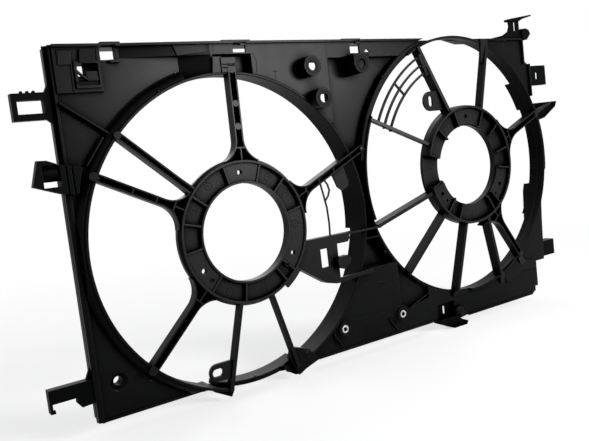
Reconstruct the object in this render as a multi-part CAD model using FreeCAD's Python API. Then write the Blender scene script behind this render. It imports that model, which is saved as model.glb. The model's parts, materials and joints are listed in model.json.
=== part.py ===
import FreeCAD, Part
import math
import os

# Moulded shroud that carries two electric fans behind a radiator.
# Millimetres. X runs along the width, Z is up, and -Y faces the engine side.
# The origin is on the left fan's axis, level with the raised panel face beside the rims.

V = FreeCAD.Vector

# Fans: the two bores have one size, and the right one stands higher
fan_bore_r = 165.0
fan_rise = 34.0
barrel_wall = 3.0
barrel_gap = 5.0
rim_round = 0.6
bore_step = 1.0
left_rim_y = -1.5
right_rim_y = -2.0
left_barrel_back = 29.0
right_barrel_back = 19.0
left_deep_back = 38.0

# Stretches of the right barrel that reach further back: start, end and depth
right_deep_stretches = ((-30, 30, 23.0), (23, 38, 28.0), (-31, -15, 25.5))

# Stretch of the right barrel, under the blade guard, whose rim is set back to the shoulder
low_rim = (114.0, 153.5)
low_rim_y = 2.0

# Lip round the outside of the right barrel, facing the side
side_lip = (-8.0, 24.0)
side_lip_out = 2.5

# Arc that closes the left barrel at the bottom, set back from the rim and inwards
bottom_arc_step = 2.5
bottom_arc_wall = 5.0
bottom_arc_front_y = 10.0
bottom_arc_back = 31.0

# Outline of the moulding, as distances from the fans
side_margin = 8.5
top_margin = 0.2
left_bottom_inset = 7.0
centre_bottom_inset = 3.5
right_bottom_drop = 36.0
right_top_inset = 12.5
right_foot_inset = 27.5
right_box_inset = 9.0

# Levels of the panel faces, measured back from the origin plane
plateau_y = 1.0
centre_y = 4.0
recess_y = 9.0
base_y = 10.0
flange_y = 14.0
web_y = 20.0
seat_y = 34.0
corner_lip_y = 3.0
centre_lip_y = -1.2
side_lip_y = 8.0

# Sheet, walls and ribs
plate = 2.5
skirt = 2.5
rib = 2.0
thin_rib = 1.6
flange_width = 6.0

# Flared surround of the left barrel and square shoulder of the right one, out to the panel
flare_flat = 5.0
flare_foot = 12.0
right_lip = 8.0

# Ramps from the corner up to the raised panel, and the pocket behind the top spoke
ramp_foot_x = -45.0
ramp_top_x = -12.0
long_ramp_x = -106.0
ramp_split_drop = 13.2
spoke_pocket_x = (-10.0, 36.0)
spoke_pocket_drop = (38.2, 13.2)
spoke_pocket_floor_y = 13.0

# Recess between the barrels
step_x = 137.0
strip_drop = 20.2
valley_top_z = 62.0
valley_bottom_z = -72.0
valley_half = 80.0

# Latch windows along the top edge: side, width, and how far their foot is below the edge
corner_window_x = -125.0
centre_window_x = 15.0
recess_window_x = 171.5
latch_window_width = 15.5
corner_window_drop = 14.5
centre_window_drop = 11.7
recess_window_drop = 15.7
window_notch = 1.2

# Snap opening in the upper left corner
snap_from_edge = 26.5
snap_drop = 38.2
snap_size = 20.0

# Motor rings and the screws that hold the motors
motor_bore_r = 51.4
screw_pitch_out = 11.6
pin_pitch_out = 11.1
ring_margin = 14.6
ring_wall = 2.2
ring_floor = 2.4
left_ring_taper = 2.4
right_ring_taper = 1.2
left_ring_front_y = -9.5
left_ring_back_y = -3.0
right_ring_front_y = -16.0
right_ring_back_y = 0.0
left_bore_front_y = -9.5
left_bore_back_y = 1.0
right_bore_front_y = -9.0
right_bore_back_y = -1.0
left_floor_y = -4.9
right_floor_y = -8.9
left_pad_y = -7.9
right_pad_y = -11.9
flat_pad_y = -4.0
screw_hole_r = 2.8
pin_hole_r = 1.8
screw_angles = (90.0, 210.0, 330.0)

# Spokes: channels open to the front, and plain blades
left_root_y = -9.0
right_root_y = -13.0
spoke_tip_y = -3.5
channel_depth = 11.0
channel_wall = 1.6
channel_floor = 2.0
blade_width = 4.4
blade_draft = 0.4
guard_spoke_depth = 4.5
left_flare = (42.0, 23.0)
right_flare = (60.0, 33.0)

# Standoffs for a bolted-on control box
standoff_r = 11.2
standoff_hole_r = 5.2
relief_half = 5.5
standoff_wall = 2.6
standoff_face = 3.0
standoff_face_y = -14.0

# Metal inserts in the lower panel
insert_boss_r = 8.6
insert_r = 4.6
insert_bore_r = 2.5
insert_length = 12.0
insert_face_y = 1.5
insert_proud = 0.4

# Blade guard in front of the right fan, as distances inside its bore
guard_insets = (30.2, 19.7, 9.2)
guard_bar = 2.2
guard_bar_depth = 3.0
guard_front_y = -4.0
guard_from_deg = 114.5
guard_to_deg = 153.4
guard_tie_deg = 134.5
guard_spoke_deg = 155.0

# Slotted tabs for cable ties
tab_slot_half = 3.4
tab_slot_r = 3.3
low_tab_slot_half = 2.0
low_tab_slot_r = 4.2

# Hole in the lower left corner that drops over a peg
locating_hole_r = 4.6
locating_dish_r = 9.0

# Arm between the left motor ring and the lower panel
arm_front_y = -4.0
arm_sheet = 3.0
arm_top_z = -22.5
arm_window = (16.0, 27.0, -57.0, -35.5)
tether_y = -1.5
tether_half = 0.8

# Locating foot under the right barrel, as distances left of that fan's axis
foot_from_fan = (69.0, 35.0)
foot_back = 12.0

# Brackets on the two sides
bracket_reach = 33.5
bracket_window = (23.5, 12.2)
hook_reach = 41.5
hook_arm_y = 10.0
clip_front_y = -4.0
side_tab_reach = 37.0
side_box_reach = 30.5
bracket_wall = 2.5

barrel_outer_r = fan_bore_r + barrel_wall
left_fan = (0.0, 0.0)
right_fan = (2 * barrel_outer_r + barrel_gap, fan_rise)
middle_x = right_fan[0] / 2
right_reach_x = right_fan[0] + fan_bore_r
left_edge_x = -(barrel_outer_r + side_margin)
inner_edge_x = left_edge_x + flange_width
top_edge_z = fan_rise + fan_bore_r + top_margin
under_top_z = top_edge_z - skirt
bottom_left_z = -(fan_bore_r - left_bottom_inset)
bottom_centre_z = -(fan_bore_r - centre_bottom_inset)
bottom_right_z = fan_rise - fan_bore_r - right_bottom_drop
right_top_x = right_reach_x - right_top_inset
right_foot_x = right_reach_x - right_foot_inset
right_box_x = right_reach_x - right_box_inset
strip_bottom_z = top_edge_z - strip_drop
ramp_split_z = top_edge_z - ramp_split_drop
flare_foot_r = fan_bore_r + flare_foot
screw_pitch_r = motor_bore_r + screw_pitch_out
pin_pitch_r = motor_bore_r + pin_pitch_out
ring_outer_r = screw_pitch_r + ring_margin
ring_inside_r = ring_outer_r - left_ring_taper - ring_wall
nodes = {}


def box(x_low, x_high, y_low, y_high, z_low, z_high):
    return Part.makeBox(x_high - x_low, y_high - y_low, z_high - z_low, V(x_low, y_low, z_low))


def disc(centre, radius, y_low, y_high):
    return Part.makeCylinder(radius, y_high - y_low, V(centre[0], y_low, centre[1]), V(0, 1, 0))


def ring(centre, inner, outer, y_low, y_high):
    return disc(centre, outer, y_low, y_high).cut(disc(centre, inner, y_low - 1, y_high + 1))


def plate_of(outline, y_low, y_high):
    """Flat piece facing the viewer: an outline of (x, z) corners, thickened from y_low to y_high."""
    corners = [V(x, y_low, z) for x, z in outline]
    face = Part.Face(Part.makePolygon(corners + corners[:1]))
    return face.extrude(V(0, y_high - y_low, 0))


def bar_section(profile, z_low, z_high):
    """Upright bar: an outline of (x, y) corners, run from z_low to z_high."""
    corners = [V(x, y, z_low) for x, y in profile]
    face = Part.Face(Part.makePolygon(corners + corners[:1]))
    return face.extrude(V(0, 0, z_high - z_low))


def polar(centre, radius, degrees):
    angle = math.radians(degrees)
    return (centre[0] + radius * math.cos(angle), centre[1] + radius * math.sin(angle))


def shifted(outline, x, z):
    """Outline of (x, z) corners moved so that its own origin lands on (x, z)."""
    return [(x + across, z + up) for across, up in outline]


def sector(centre, start_deg, end_deg, y_low, y_high):
    """Pie-shaped piece between two angles, counted from +X towards +Z, that reaches past the barrel."""
    radius = 2 * fan_bore_r
    start = polar(centre, radius, start_deg)
    middle = polar(centre, radius, (start_deg + end_deg) / 2)
    end = polar(centre, radius, end_deg)
    hub = V(centre[0], y_low, centre[1])
    points = [V(p[0], y_low, p[1]) for p in (start, middle, end)]
    edges = [Part.LineSegment(hub, points[0]).toShape(),
             Part.Arc(*points).toShape(),
             Part.LineSegment(points[2], hub).toShape()]
    return Part.Face(Part.Wire(edges)).extrude(V(0, y_high - y_low, 0))


def revolved(centre, profile):
    """Round form about a fan's axis, from a profile of (radius, y) corners."""
    corners = [V(centre[0] + r, y, centre[1]) for r, y in profile]
    face = Part.Face(Part.makePolygon(corners + corners[:1]))
    return face.revolve(V(centre[0], 0, centre[1]), V(0, -1, 0), 360)


def joined(pieces):
    """One solid from overlapping pieces."""
    whole = pieces[0]
    if len(pieces) > 1:
        whole = whole.fuse(pieces[1:])
    return whole.removeSplitter()


def trimmed(shape, neighbours):
    """The shape cut back so that it butts against its neighbours, without crumbs."""
    for other in neighbours:
        shape = shape.cut(other)
    pieces = sorted(shape.Solids, key=lambda solid: solid.Volume, reverse=True)
    kept = [solid for solid in pieces if solid.Volume > pieces[0].Volume / 12]
    return kept[0] if len(kept) == 1 else Part.makeCompound(kept)


def along(start, end, shape, root_y=0.0, tip_y=0.0):
    """Places a shape drawn along +X from the origin so that it runs from start to end, front to back."""
    run = math.dist(start, end)
    placed = shape.copy()
    placed.rotate(V(0, 0, 0), V(0, 0, 1), math.degrees(math.atan2(tip_y - root_y, run)))
    angle = math.degrees(math.atan2(end[1] - start[1], end[0] - start[0]))
    placed.rotate(V(0, 0, 0), V(0, 1, 0), -angle)
    placed.translate(V(start[0], root_y, start[1]))
    return placed


# Barrels


def barrel_tube(centre, rim_y, back_y):
    """Cylinder that the fan turns in, with a rounded front rim and a step inside."""
    step_y = (rim_y + back_y) / 2
    return revolved(centre, [
        (fan_bore_r + rim_round, rim_y), (barrel_outer_r - rim_round, rim_y),
        (barrel_outer_r, rim_y + rim_round), (barrel_outer_r, back_y), (fan_bore_r + bore_step, back_y),
        (fan_bore_r + bore_step, step_y + bore_step), (fan_bore_r, step_y),
        (fan_bore_r, rim_y + rim_round)])


def deep_part(centre, start_deg, end_deg, y_low, y_high):
    """Stretch of barrel wall that reaches further back than the rest."""
    wall = ring(centre, fan_bore_r + bore_step, barrel_outer_r, y_low - 1, y_high)
    return wall.common(sector(centre, start_deg, end_deg, y_low - 2, y_high + 1))


def flared_surround():
    """Moulded wall that falls from the left rim to the base panel in a hollow curve."""
    root_r = barrel_outer_r - 0.5
    flat_r = fan_bore_r + flare_flat
    return revolved(left_fan, [
        (root_r, 0.4), (flat_r, 0.8), (flat_r + 2.8, 3.8), (flare_foot_r - 1.6, 8.9),
        (flare_foot_r, base_y), (flare_foot_r, base_y + plate), (flat_r + 1.2, 8.4), (root_r, 3.2)])


def square_shoulder():
    """Shoulder round the right barrel: a flat lip and a straight wall down to the recess."""
    root_r = barrel_outer_r - 0.5
    lip_r = fan_bore_r + right_lip
    return revolved(right_fan, [
        (root_r, 0.3), (lip_r - 0.8, 0.3), (lip_r, 1.1), (lip_r, recess_y + plate),
        (lip_r - ring_wall, recess_y + plate), (lip_r - ring_wall, 3.0), (root_r, 3.0)])


def make_barrels():
    """Both fan barrels, each with the surround that blends it into the panel."""
    surround = flared_surround()
    upper = surround.common(box(inner_edge_x, ramp_foot_x, -1, seat_y, 0, under_top_z))
    lower = surround.common(box(inner_edge_x, -52, -1, seat_y, bottom_left_z + skirt, 0))
    tube = barrel_tube(left_fan, left_rim_y, left_barrel_back)
    arc_r = barrel_outer_r - bottom_arc_step
    arc = ring(left_fan, arc_r - bottom_arc_wall, arc_r, bottom_arc_front_y, bottom_arc_back)
    arc = arc.common(sector(left_fan, -107, -71, -5, 60))
    gap = sector(left_fan, -104, -73.5, -5, 60)
    deep = deep_part(left_fan, -8, 20, left_barrel_back, left_deep_back)
    nodes["barrel_left"] = joined([tube.cut(gap), arc, deep, upper, lower])

    shoulder = square_shoulder().common(sector(right_fan, 104, 172, -1, seat_y))
    shoulder = shoulder.common(box(0, right_fan[0] - 21, -1, seat_y, 0, under_top_z))
    shoulder = shoulder.cut(disc(left_fan, barrel_outer_r + 0.5, -2, 60))
    tube = barrel_tube(right_fan, right_rim_y, right_barrel_back)
    tube = tube.cut(sector(right_fan, -163, -92, -5, centre_y))
    tube = tube.cut(sector(right_fan, *low_rim, -5, low_rim_y))
    deep = [deep_part(right_fan, start, end, right_barrel_back, back_y)
            for start, end, back_y in right_deep_stretches]
    lip = ring(right_fan, barrel_outer_r - 0.5, barrel_outer_r + side_lip_out,
               right_rim_y + 1, right_rim_y + 3.5)
    lip = lip.common(sector(right_fan, *side_lip, -5, 5))
    nodes["barrel_right"] = joined([tube, lip, shoulder] + deep)


# Panels


def perimeter_top(x_low, x_high, front_y):
    """Top wall of the moulding, from its front lip back to the seat."""
    return box(x_low, x_high, front_y, seat_y, under_top_z, top_edge_z)


def perimeter_bottom(x_low, x_high, front_y, bottom_z):
    return box(x_low, x_high, front_y - skirt / 2, seat_y, bottom_z, bottom_z + skirt)


def latch_window(x, drop, width):
    """Through window under the top wall, with a shallow notch into the wall's lip."""
    foot_z = top_edge_z - drop
    window = box(x, x + width, -5, 60, foot_z, under_top_z - 0.3)
    notch = box(x, x + width, -5, recess_y, foot_z, under_top_z + window_notch)
    return joined([window, notch])


def make_left_edge():
    """Upright channel along the left side, with an outward flange that lines up with the side tank."""
    wall_x = inner_edge_x - skirt
    profile = [(inner_edge_x, side_lip_y), (inner_edge_x, seat_y), (wall_x, seat_y),
               (wall_x, flange_y + plate), (left_edge_x, flange_y + plate), (left_edge_x, flange_y),
               (wall_x, flange_y), (wall_x, side_lip_y)]
    channel = bar_section(profile, bottom_left_z, top_edge_z)
    nodes["left_edge_channel"] = trimmed(channel, [nodes["barrel_left"]])


def make_panel_upper_left():
    """Upper left corner: base sheet, a raised pad with a snap opening, and the first latch window."""
    pad_y = base_y - 4
    pad_end_x = left_edge_x + 50.5
    pad_foot_z = top_edge_z - 44.2
    sheet = box(inner_edge_x, ramp_foot_x, base_y, base_y + plate, 0, under_top_z)
    sheet = sheet.cut(box(long_ramp_x, ramp_foot_x + 1, -5, 60, ramp_split_z, top_edge_z + 5))
    sheet = sheet.cut(disc(left_fan, flare_foot_r, -1, 60))
    raised = box(inner_edge_x, pad_end_x, pad_y, base_y + plate, pad_foot_z, under_top_z)
    raised = raised.cut(box(inner_edge_x - 1, pad_end_x - rib, pad_y + plate, 60, pad_foot_z + rib,
                            under_top_z - skirt))
    top = perimeter_top(inner_edge_x, long_ramp_x, corner_lip_y)
    bump = box(corner_window_x, long_ramp_x, corner_lip_y, base_y + 6, top_edge_z, top_edge_z + 1.4)
    window_foot_z = top_edge_z - corner_window_drop
    ledge = box(corner_window_x + 8, long_ramp_x - 1, base_y - 5, base_y + 1,
                window_foot_z - 3, window_foot_z - 0.5)

    x, z = left_edge_x + snap_from_edge, top_edge_z - snap_drop
    opening = joined([box(x, x + snap_size, -5, base_y + 6, z, z + snap_size),
                      box(x + 1, x + 9, -5, 60, z + 10, z + snap_size - 0.5)])
    pocket = box(x - rib, x + snap_size + rib, base_y, base_y + 8, z - rib, z + snap_size + rib)
    tongue = box(x + 9, x + 19, pad_y - 1, pad_y + 2, z + 4, z + 13)
    bridge = box(x - 0.5, x + snap_size + 0.5, base_y - 3, base_y - 1, z + 5, z + 8)
    frame = box(x - plate, x + snap_size + rib, pad_y - 2, pad_y + 1, z - plate, z + snap_size + plate)
    frame = frame.cut(box(x, x + snap_size, -5, 60, z, z + snap_size))

    panel = joined([sheet, raised, top, bump, pocket])
    window = latch_window(corner_window_x, corner_window_drop, latch_window_width - 1.5)
    panel = panel.cut(window).cut(opening)
    panel = joined([panel, ledge, frame, tongue, bridge])
    nodes["panel_upper_left"] = trimmed(panel, [nodes["barrel_left"], nodes["left_edge_channel"]])


def make_plateau():
    """Raised panel between the top spoke and the recess, flush with the left rim."""
    sheet = box(ramp_top_x, step_x, plateau_y, plateau_y + plate, 0, under_top_z)
    steep = bar_section([(ramp_foot_x, base_y), (ramp_top_x, plateau_y), (ramp_top_x, plateau_y + plate),
                         (ramp_foot_x, base_y + plate)], 0, ramp_split_z)
    gentle = bar_section([(long_ramp_x, base_y), (ramp_top_x, plateau_y), (ramp_top_x, plateau_y + plate),
                          (long_ramp_x, base_y + plate)], ramp_split_z, under_top_z)
    cheek = bar_section([(long_ramp_x, base_y), (ramp_top_x, plateau_y), (ramp_top_x, plateau_y + plate),
                         (ramp_foot_x, base_y + plate), (long_ramp_x, base_y + plate)],
                        ramp_split_z, ramp_split_z + rib)
    step_wall = box(step_x - plate, step_x, plateau_y, recess_y + plate, 0, strip_bottom_z)
    sloping_top = bar_section([(long_ramp_x, corner_lip_y), (ramp_top_x, centre_lip_y),
                               (ramp_top_x, seat_y), (long_ramp_x, seat_y)], under_top_z, top_edge_z)
    bump = box(centre_window_x - 13, centre_window_x + 21, centre_lip_y, plateau_y + 7,
               top_edge_z, top_edge_z + 1)
    x_low, x_high = spoke_pocket_x
    z_low, z_high = (top_edge_z - drop for drop in spoke_pocket_drop)
    well = box(x_low - rib, x_high + rib, plateau_y, spoke_pocket_floor_y + rib, z_low - rib, z_high + rib)
    hollow = box(x_low, x_high, -5, spoke_pocket_floor_y, z_low - 10, z_high)
    nose = box(centre_window_x + 9, centre_window_x + latch_window_width + 1, plateau_y - 1,
               plateau_y + plate, under_top_z - 2, under_top_z)
    panel = joined([sheet, steep, gentle, cheek, step_wall, perimeter_top(ramp_top_x, step_x, centre_lip_y),
                    sloping_top, bump, well])
    panel = panel.cut(hollow).cut(latch_window(centre_window_x, centre_window_drop, latch_window_width))
    panel = joined([panel, nose])
    below = box(long_ramp_x - 1, step_x + 1, -5, 60, 0, valley_top_z)
    panel = panel.cut(disc(left_fan, barrel_outer_r, -5, 60)).cut(below)
    for place in (standoff_upper, standoff_lower):
        panel = panel.cut(disc(place, standoff_r - standoff_wall, plateau_y - 1, 60))
        panel = panel.cut(box(place[0], place[0] + standoff_r + 6, plateau_y - 1, recess_y,
                              place[1] - relief_half, place[1] + relief_half))
    nodes["panel_plateau"] = trimmed(panel, [nodes["barrel_left"], nodes["panel_upper_left"]])


def make_panel_between():
    """Recessed panel between the two barrels, with the raised strip along the top."""
    end_x = right_fan[0] - 38
    floor = box(step_x, end_x, recess_y, recess_y + plate, valley_top_z, strip_bottom_z + plate)
    strip = box(step_x, end_x, plateau_y, plateau_y + plate, strip_bottom_z, under_top_z)
    strip_wall = box(step_x, end_x, plateau_y, recess_y + plate, strip_bottom_z, strip_bottom_z + plate)
    top = perimeter_top(step_x, end_x, centre_lip_y)
    x = recess_window_x
    bump = box(x - 11.5, x + 15.5, centre_lip_y, plateau_y + 7, top_edge_z, top_edge_z + 0.8)
    nose = box(x + 9, x + latch_window_width, plateau_y - 1, plateau_y + plate,
               under_top_z - 2.6, under_top_z)
    nick = shifted([(0, 0), (9, 0), (4, 4.5)], x + 21.5, top_edge_z - 14.7)
    panel = joined([floor, strip, strip_wall, top, bump])
    panel = panel.cut(latch_window(x, recess_window_drop, latch_window_width - 1.5))
    panel = panel.cut(plate_of(nick, -5, plateau_y + plate + 1))
    panel = joined([panel, nose])
    panel = panel.cut(disc(standoff_side, standoff_r - standoff_wall, -5, 60))
    panel = panel.cut(disc(right_fan, fan_bore_r + right_lip, -5, 60))
    nodes["panel_between"] = trimmed(panel, [nodes["barrel_left"], nodes["barrel_right"],
                                             nodes["panel_plateau"]])


def make_panel_upper_right():
    """Corner panel beside the right barrel, with its outline of steps."""
    start_x = right_fan[0] + 31
    side_x = right_reach_x - 1
    shoulder_z = top_edge_z - 38.2
    foot_z = top_edge_z - 80.2
    outline = [(start_x, under_top_z), (right_top_x - 64, under_top_z), (right_top_x - 2, top_edge_z - 3.2),
               (right_top_x, top_edge_z - 30.2), (side_x, shoulder_z), (side_x, foot_z),
               (right_reach_x - 6, fan_rise + 74), (right_reach_x, fan_rise + 58),
               (right_reach_x - 22, fan_rise + 58), polar(right_fan, fan_bore_r - 35, 63),
               (start_x, under_top_z - 11.7)]
    sheet = plate_of(outline, base_y, base_y + plate)
    front_y = base_y - 3
    top = box(start_x, right_top_x - 2, front_y, seat_y, under_top_z, top_edge_z)
    side = joined([box(right_top_x - skirt, right_top_x, front_y, seat_y, shoulder_z + 2, top_edge_z - 1.7),
                   box(right_top_x - skirt, side_x, base_y, seat_y, shoulder_z - 1, shoulder_z + 2),
                   box(side_x - skirt, side_x, front_y, seat_y, foot_z - 2, shoulder_z + 2)])
    panel = joined([sheet, top, side]).cut(disc(right_fan, barrel_outer_r, -5, 60))
    nodes["panel_upper_right"] = trimmed(panel, [nodes["barrel_right"]])


def make_panel_lower_left():
    """Lower left corner, with the dished hole that drops over a peg."""
    neck_x = -54.0
    hole = (left_edge_x + 25.5, bottom_left_z + 35)
    sheet = box(inner_edge_x, neck_x, base_y, base_y + plate, bottom_left_z, 0)
    sheet = sheet.cut(disc(left_fan, flare_foot_r, -1, 60))
    bottom = perimeter_bottom(inner_edge_x, neck_x, base_y, bottom_left_z)
    mouth = V(hole[0], base_y, hole[1])
    dish = Part.makeCone(locating_dish_r, locating_hole_r, 4, mouth, V(0, 1, 0))
    funnel = joined([Part.makeCone(locating_dish_r + rib, locating_hole_r + rib, 5, mouth, V(0, 1, 0)),
                     disc(hole, locating_hole_r + rib, base_y, base_y + 16)])
    panel = joined([sheet, bottom, funnel]).cut(dish).cut(disc(hole, locating_hole_r, -5, 60))
    nodes["panel_lower_left"] = trimmed(panel, [nodes["barrel_left"], nodes["left_edge_channel"]])


def make_panel_lower_centre():
    """Lower panel between the barrels, with the sunk triangle beside the second insert."""
    end_x = right_fan[0] - 79
    top_z = valley_bottom_z
    toe = polar(left_fan, barrel_outer_r + 10.6, -73.1)
    sheet = plate_of([(33, bottom_left_z), (33, bottom_left_z - 5), toe, (toe[0] + 5, toe[1] + 2),
                      (toe[0] + 28, bottom_centre_z), (end_x, bottom_centre_z), (end_x, top_z),
                      (52, top_z)],
                     centre_y, centre_y + plate)
    bottom = perimeter_bottom(toe[0] + 28, end_x, centre_y, bottom_centre_z)
    crest = box(middle_x - valley_half, middle_x + valley_half, centre_y, left_barrel_back,
                top_z - plate, top_z)
    panel = joined([sheet, bottom, crest])
    x, z = insert_places[1][0] + 1.3, insert_places[1][1]
    sunk_outline = [(x, top_z - plate), (x, z + 10.9), (x + 12, z + 3.4), (end_x + 1, z + 10.9),
                    (end_x + 1, top_z - plate)]
    rim_outline = [(x - rib, top_z), (x - rib, z + 9.4), (x + 11.5, z + 1.2), (end_x, z + 8.9),
                   (end_x, top_z)]
    tray_y = centre_y + 8
    tray = plate_of(rim_outline, centre_y, tray_y).cut(plate_of(sunk_outline, -5, tray_y - plate))
    panel = joined([panel.cut(plate_of(sunk_outline, -5, centre_y + plate + 1)), tray])
    panel = panel.cut(disc(left_fan, barrel_outer_r, -5, 60)).cut(disc(right_fan, barrel_outer_r, -5, 60))
    for place in insert_places:
        panel = panel.cut(disc(place, insert_boss_r, -5, 60))
    nodes["panel_lower_centre"] = trimmed(panel, [nodes["barrel_left"], nodes["barrel_right"]])


def make_panel_lower_right():
    """Lower panel under the right barrel, from the locating foot to the stepped corner."""
    start_x = right_fan[0] - 79
    box_z = bottom_right_z + 49
    waist = (right_reach_x - 6.5, fan_rise - 94)
    brow = (right_reach_x - 1.5, fan_rise - 26)
    step_z = bottom_right_z + 13
    toe_x = right_foot_x - 6
    outline = [(start_x, bottom_centre_z), (start_x, fan_rise - 134), (right_fan[0], fan_rise - 134),
               (right_fan[0] + 129, fan_rise - 34), brow, waist, (right_box_x, box_z),
               (right_foot_x, box_z), (right_foot_x, step_z), (toe_x, step_z), (toe_x, bottom_right_z + 5),
               (toe_x - 8, bottom_right_z), (right_fan[0] - 11, bottom_right_z),
               (right_fan[0] - 19, bottom_centre_z - 2)]
    sheet = plate_of(outline, centre_y, centre_y + plate)
    bottom = perimeter_bottom(right_fan[0] - 11, toe_x - 8, centre_y, bottom_right_z)
    side = joined([box(toe_x - skirt, toe_x, centre_y, seat_y, bottom_right_z + 4, step_z),
                   box(toe_x - skirt, right_foot_x, centre_y, seat_y, step_z - skirt, step_z),
                   box(right_foot_x - skirt, right_foot_x, centre_y, seat_y, step_z, box_z),
                   box(right_foot_x - skirt, right_box_x, centre_y, seat_y, box_z - skirt, box_z),
                   plate_of([(right_box_x, box_z), waist, brow, (brow[0] - skirt, brow[1]),
                             (waist[0] - skirt, waist[1]), (right_box_x - skirt, box_z)],
                            centre_y, seat_y)])
    panel = joined([sheet, bottom, side]).cut(disc(right_fan, barrel_outer_r, -5, 60))
    panel = panel.cut(box(foot_low_x, foot_high_x, -5, 60, bottom_right_z - 23, bottom_centre_z + 20.5))
    nodes["panel_lower_right"] = trimmed(panel, [nodes["barrel_right"], nodes["panel_lower_centre"]])


def make_bottom_foot():
    """Locating foot under the right barrel: a hooked toe, a sunk seat and a slot."""
    low, high = foot_low_x, foot_high_x
    base_z = bottom_centre_z
    toe = plate_of([(low, base_z + 0.5), (low, base_z - 4), (low + 24, base_z - 14.5),
                    (low + 47.5, base_z - 14.5), (low + 50, base_z - 10), (low + 41.5, base_z - 6.5),
                    (high, base_z - 2.5), (high, base_z + 0.5)], -2, foot_back)
    wall = box(low, high, foot_back - plate, foot_back, base_z + 0.5, base_z + 20.5)
    cheeks = [box(x, x + rib, centre_y, foot_back, base_z - 1.5, base_z + 20.5) for x in (low, high - rib)]
    slot = box(low + 16, low + 21, -5, 60, base_z + 4.5, base_z + 15)
    foot = joined([toe, wall] + cheeks).cut(slot)
    nodes["bottom_foot"] = trimmed(foot, [nodes["barrel_right"], nodes["panel_lower_right"]])


def make_valley():
    """Back web and cross ribs that tie the two barrels together."""
    x_low, x_high = middle_x - valley_half, middle_x + valley_half
    web = box(x_low, x_high, web_y, web_y + plate, valley_bottom_z, valley_top_z)
    cap = box(x_low, x_high, recess_y, web_y + plate, valley_top_z - plate, valley_top_z)
    ribs = [box(x_low, x_high, 2.5, web_y + plate, z, z + rib) for z in (17.0, -36.5)]
    body = joined([web, cap] + ribs)
    for fan in (left_fan, right_fan):
        body = body.cut(disc(fan, barrel_outer_r, -5, 60))
    nodes["valley_web"] = trimmed(body, [nodes["barrel_right"], nodes["barrel_left"],
                                         nodes["panel_lower_centre"], nodes["panel_between"]])


# Motor rings


def pad_between(centre, start_deg, end_deg, y_low, y_high):
    """Flat raised part of a motor ring between two angles."""
    annulus = ring(centre, motor_bore_r + ring_wall / 2, ring_inside_r + ring_wall / 2, y_low, y_high)
    return annulus.common(sector(centre, start_deg, end_deg, y_low - 1, y_high + 1))


def radial_rib(centre, degrees, y_low, y_high):
    blade = box(motor_bore_r + ring_wall / 2, ring_inside_r + ring_wall / 2, y_low, y_high,
                -rib / 2, rib / 2)
    blade.rotate(V(0, 0, 0), V(0, 1, 0), -degrees)
    blade.translate(V(centre[0], 0, centre[1]))
    return blade


def outer_wall(centre, taper, front_y, shoulder_y, back_y):
    """Outer wall of a motor ring, wider at its shoulder than at its front edge."""
    front_r = ring_outer_r - taper
    return revolved(centre, [
        (front_r - ring_wall, front_y), (front_r, front_y), (ring_outer_r, shoulder_y),
        (ring_outer_r, back_y), (ring_inside_r, back_y), (ring_inside_r, shoulder_y)])


def with_holes(body, centre, pins):
    """The ring with its three screw holes and its locating pins' holes."""
    for angle in screw_angles:
        body = body.cut(disc(polar(centre, screw_pitch_r, angle), screw_hole_r, -30, 30))
    for angle in pins:
        body = body.cut(disc(polar(centre, pin_pitch_r, angle), pin_hole_r, -30, 30))
    return body


def make_motor_rings():
    """Rings that take the motors: two walls, a floor, raised screw pads and radial ribs."""
    wall = outer_wall(left_fan, left_ring_taper, left_ring_front_y, left_floor_y, left_ring_back_y)
    bore = ring(left_fan, motor_bore_r, motor_bore_r + ring_wall, left_bore_front_y, left_bore_back_y)
    floor = ring(left_fan, motor_bore_r, ring_inside_r + 1, left_floor_y, left_floor_y + ring_floor)
    pads = [pad_between(left_fan, start, end, left_pad_y, left_floor_y + 1)
            for start, end in ((70, 105), (-43, 14), (-171, -132))]
    ribs = [radial_rib(left_fan, angle, left_bore_front_y + 0.4, left_floor_y + 1)
            for angle in (70, 44, 14, -43, -55, -99, -132, -171, 165, 142, 105)]
    lug = ring(left_fan, ring_inside_r + 1, ring_outer_r + 3, left_ring_front_y + 1, left_floor_y)
    lug = lug.common(sector(left_fan, -58, -40, -20, 0))
    body = joined([wall, bore, floor, lug] + pads + ribs)
    nodes["motor_ring_left"] = with_holes(body, left_fan, (-137, -43))

    wall = outer_wall(right_fan, right_ring_taper, right_ring_front_y, right_floor_y, right_ring_back_y)
    bore = ring(right_fan, motor_bore_r, motor_bore_r + ring_wall, right_bore_front_y, right_bore_back_y)
    floor = ring(right_fan, motor_bore_r, ring_inside_r + 1, right_floor_y, right_floor_y + ring_floor)
    pads = [pad_between(right_fan, start, end, right_pad_y, right_floor_y + 1)
            for start, end in ((66, 108), (-49, -9), (-161, -131))]
    ribs = [radial_rib(right_fan, angle, right_ring_front_y + 1, right_floor_y + 1)
            for angle in (66, 41, 13, -9, -49, -60, -114, -131, 137, 108)]
    body = joined([wall, bore, floor] + pads + ribs)
    # The stretch facing the left fan is a plain flat pad, without the front walls
    body = body.cut(sector(right_fan, 165, 197, right_ring_front_y - 1, flat_pad_y))
    pad = ring(right_fan, motor_bore_r, ring_outer_r, flat_pad_y, flat_pad_y + ring_floor)
    pad = pad.common(sector(right_fan, 164.5, 197.5, flat_pad_y - 1, 5))
    nodes["motor_ring_right"] = with_holes(joined([body, pad]), right_fan, (-139, -44))


# Spokes


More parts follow.
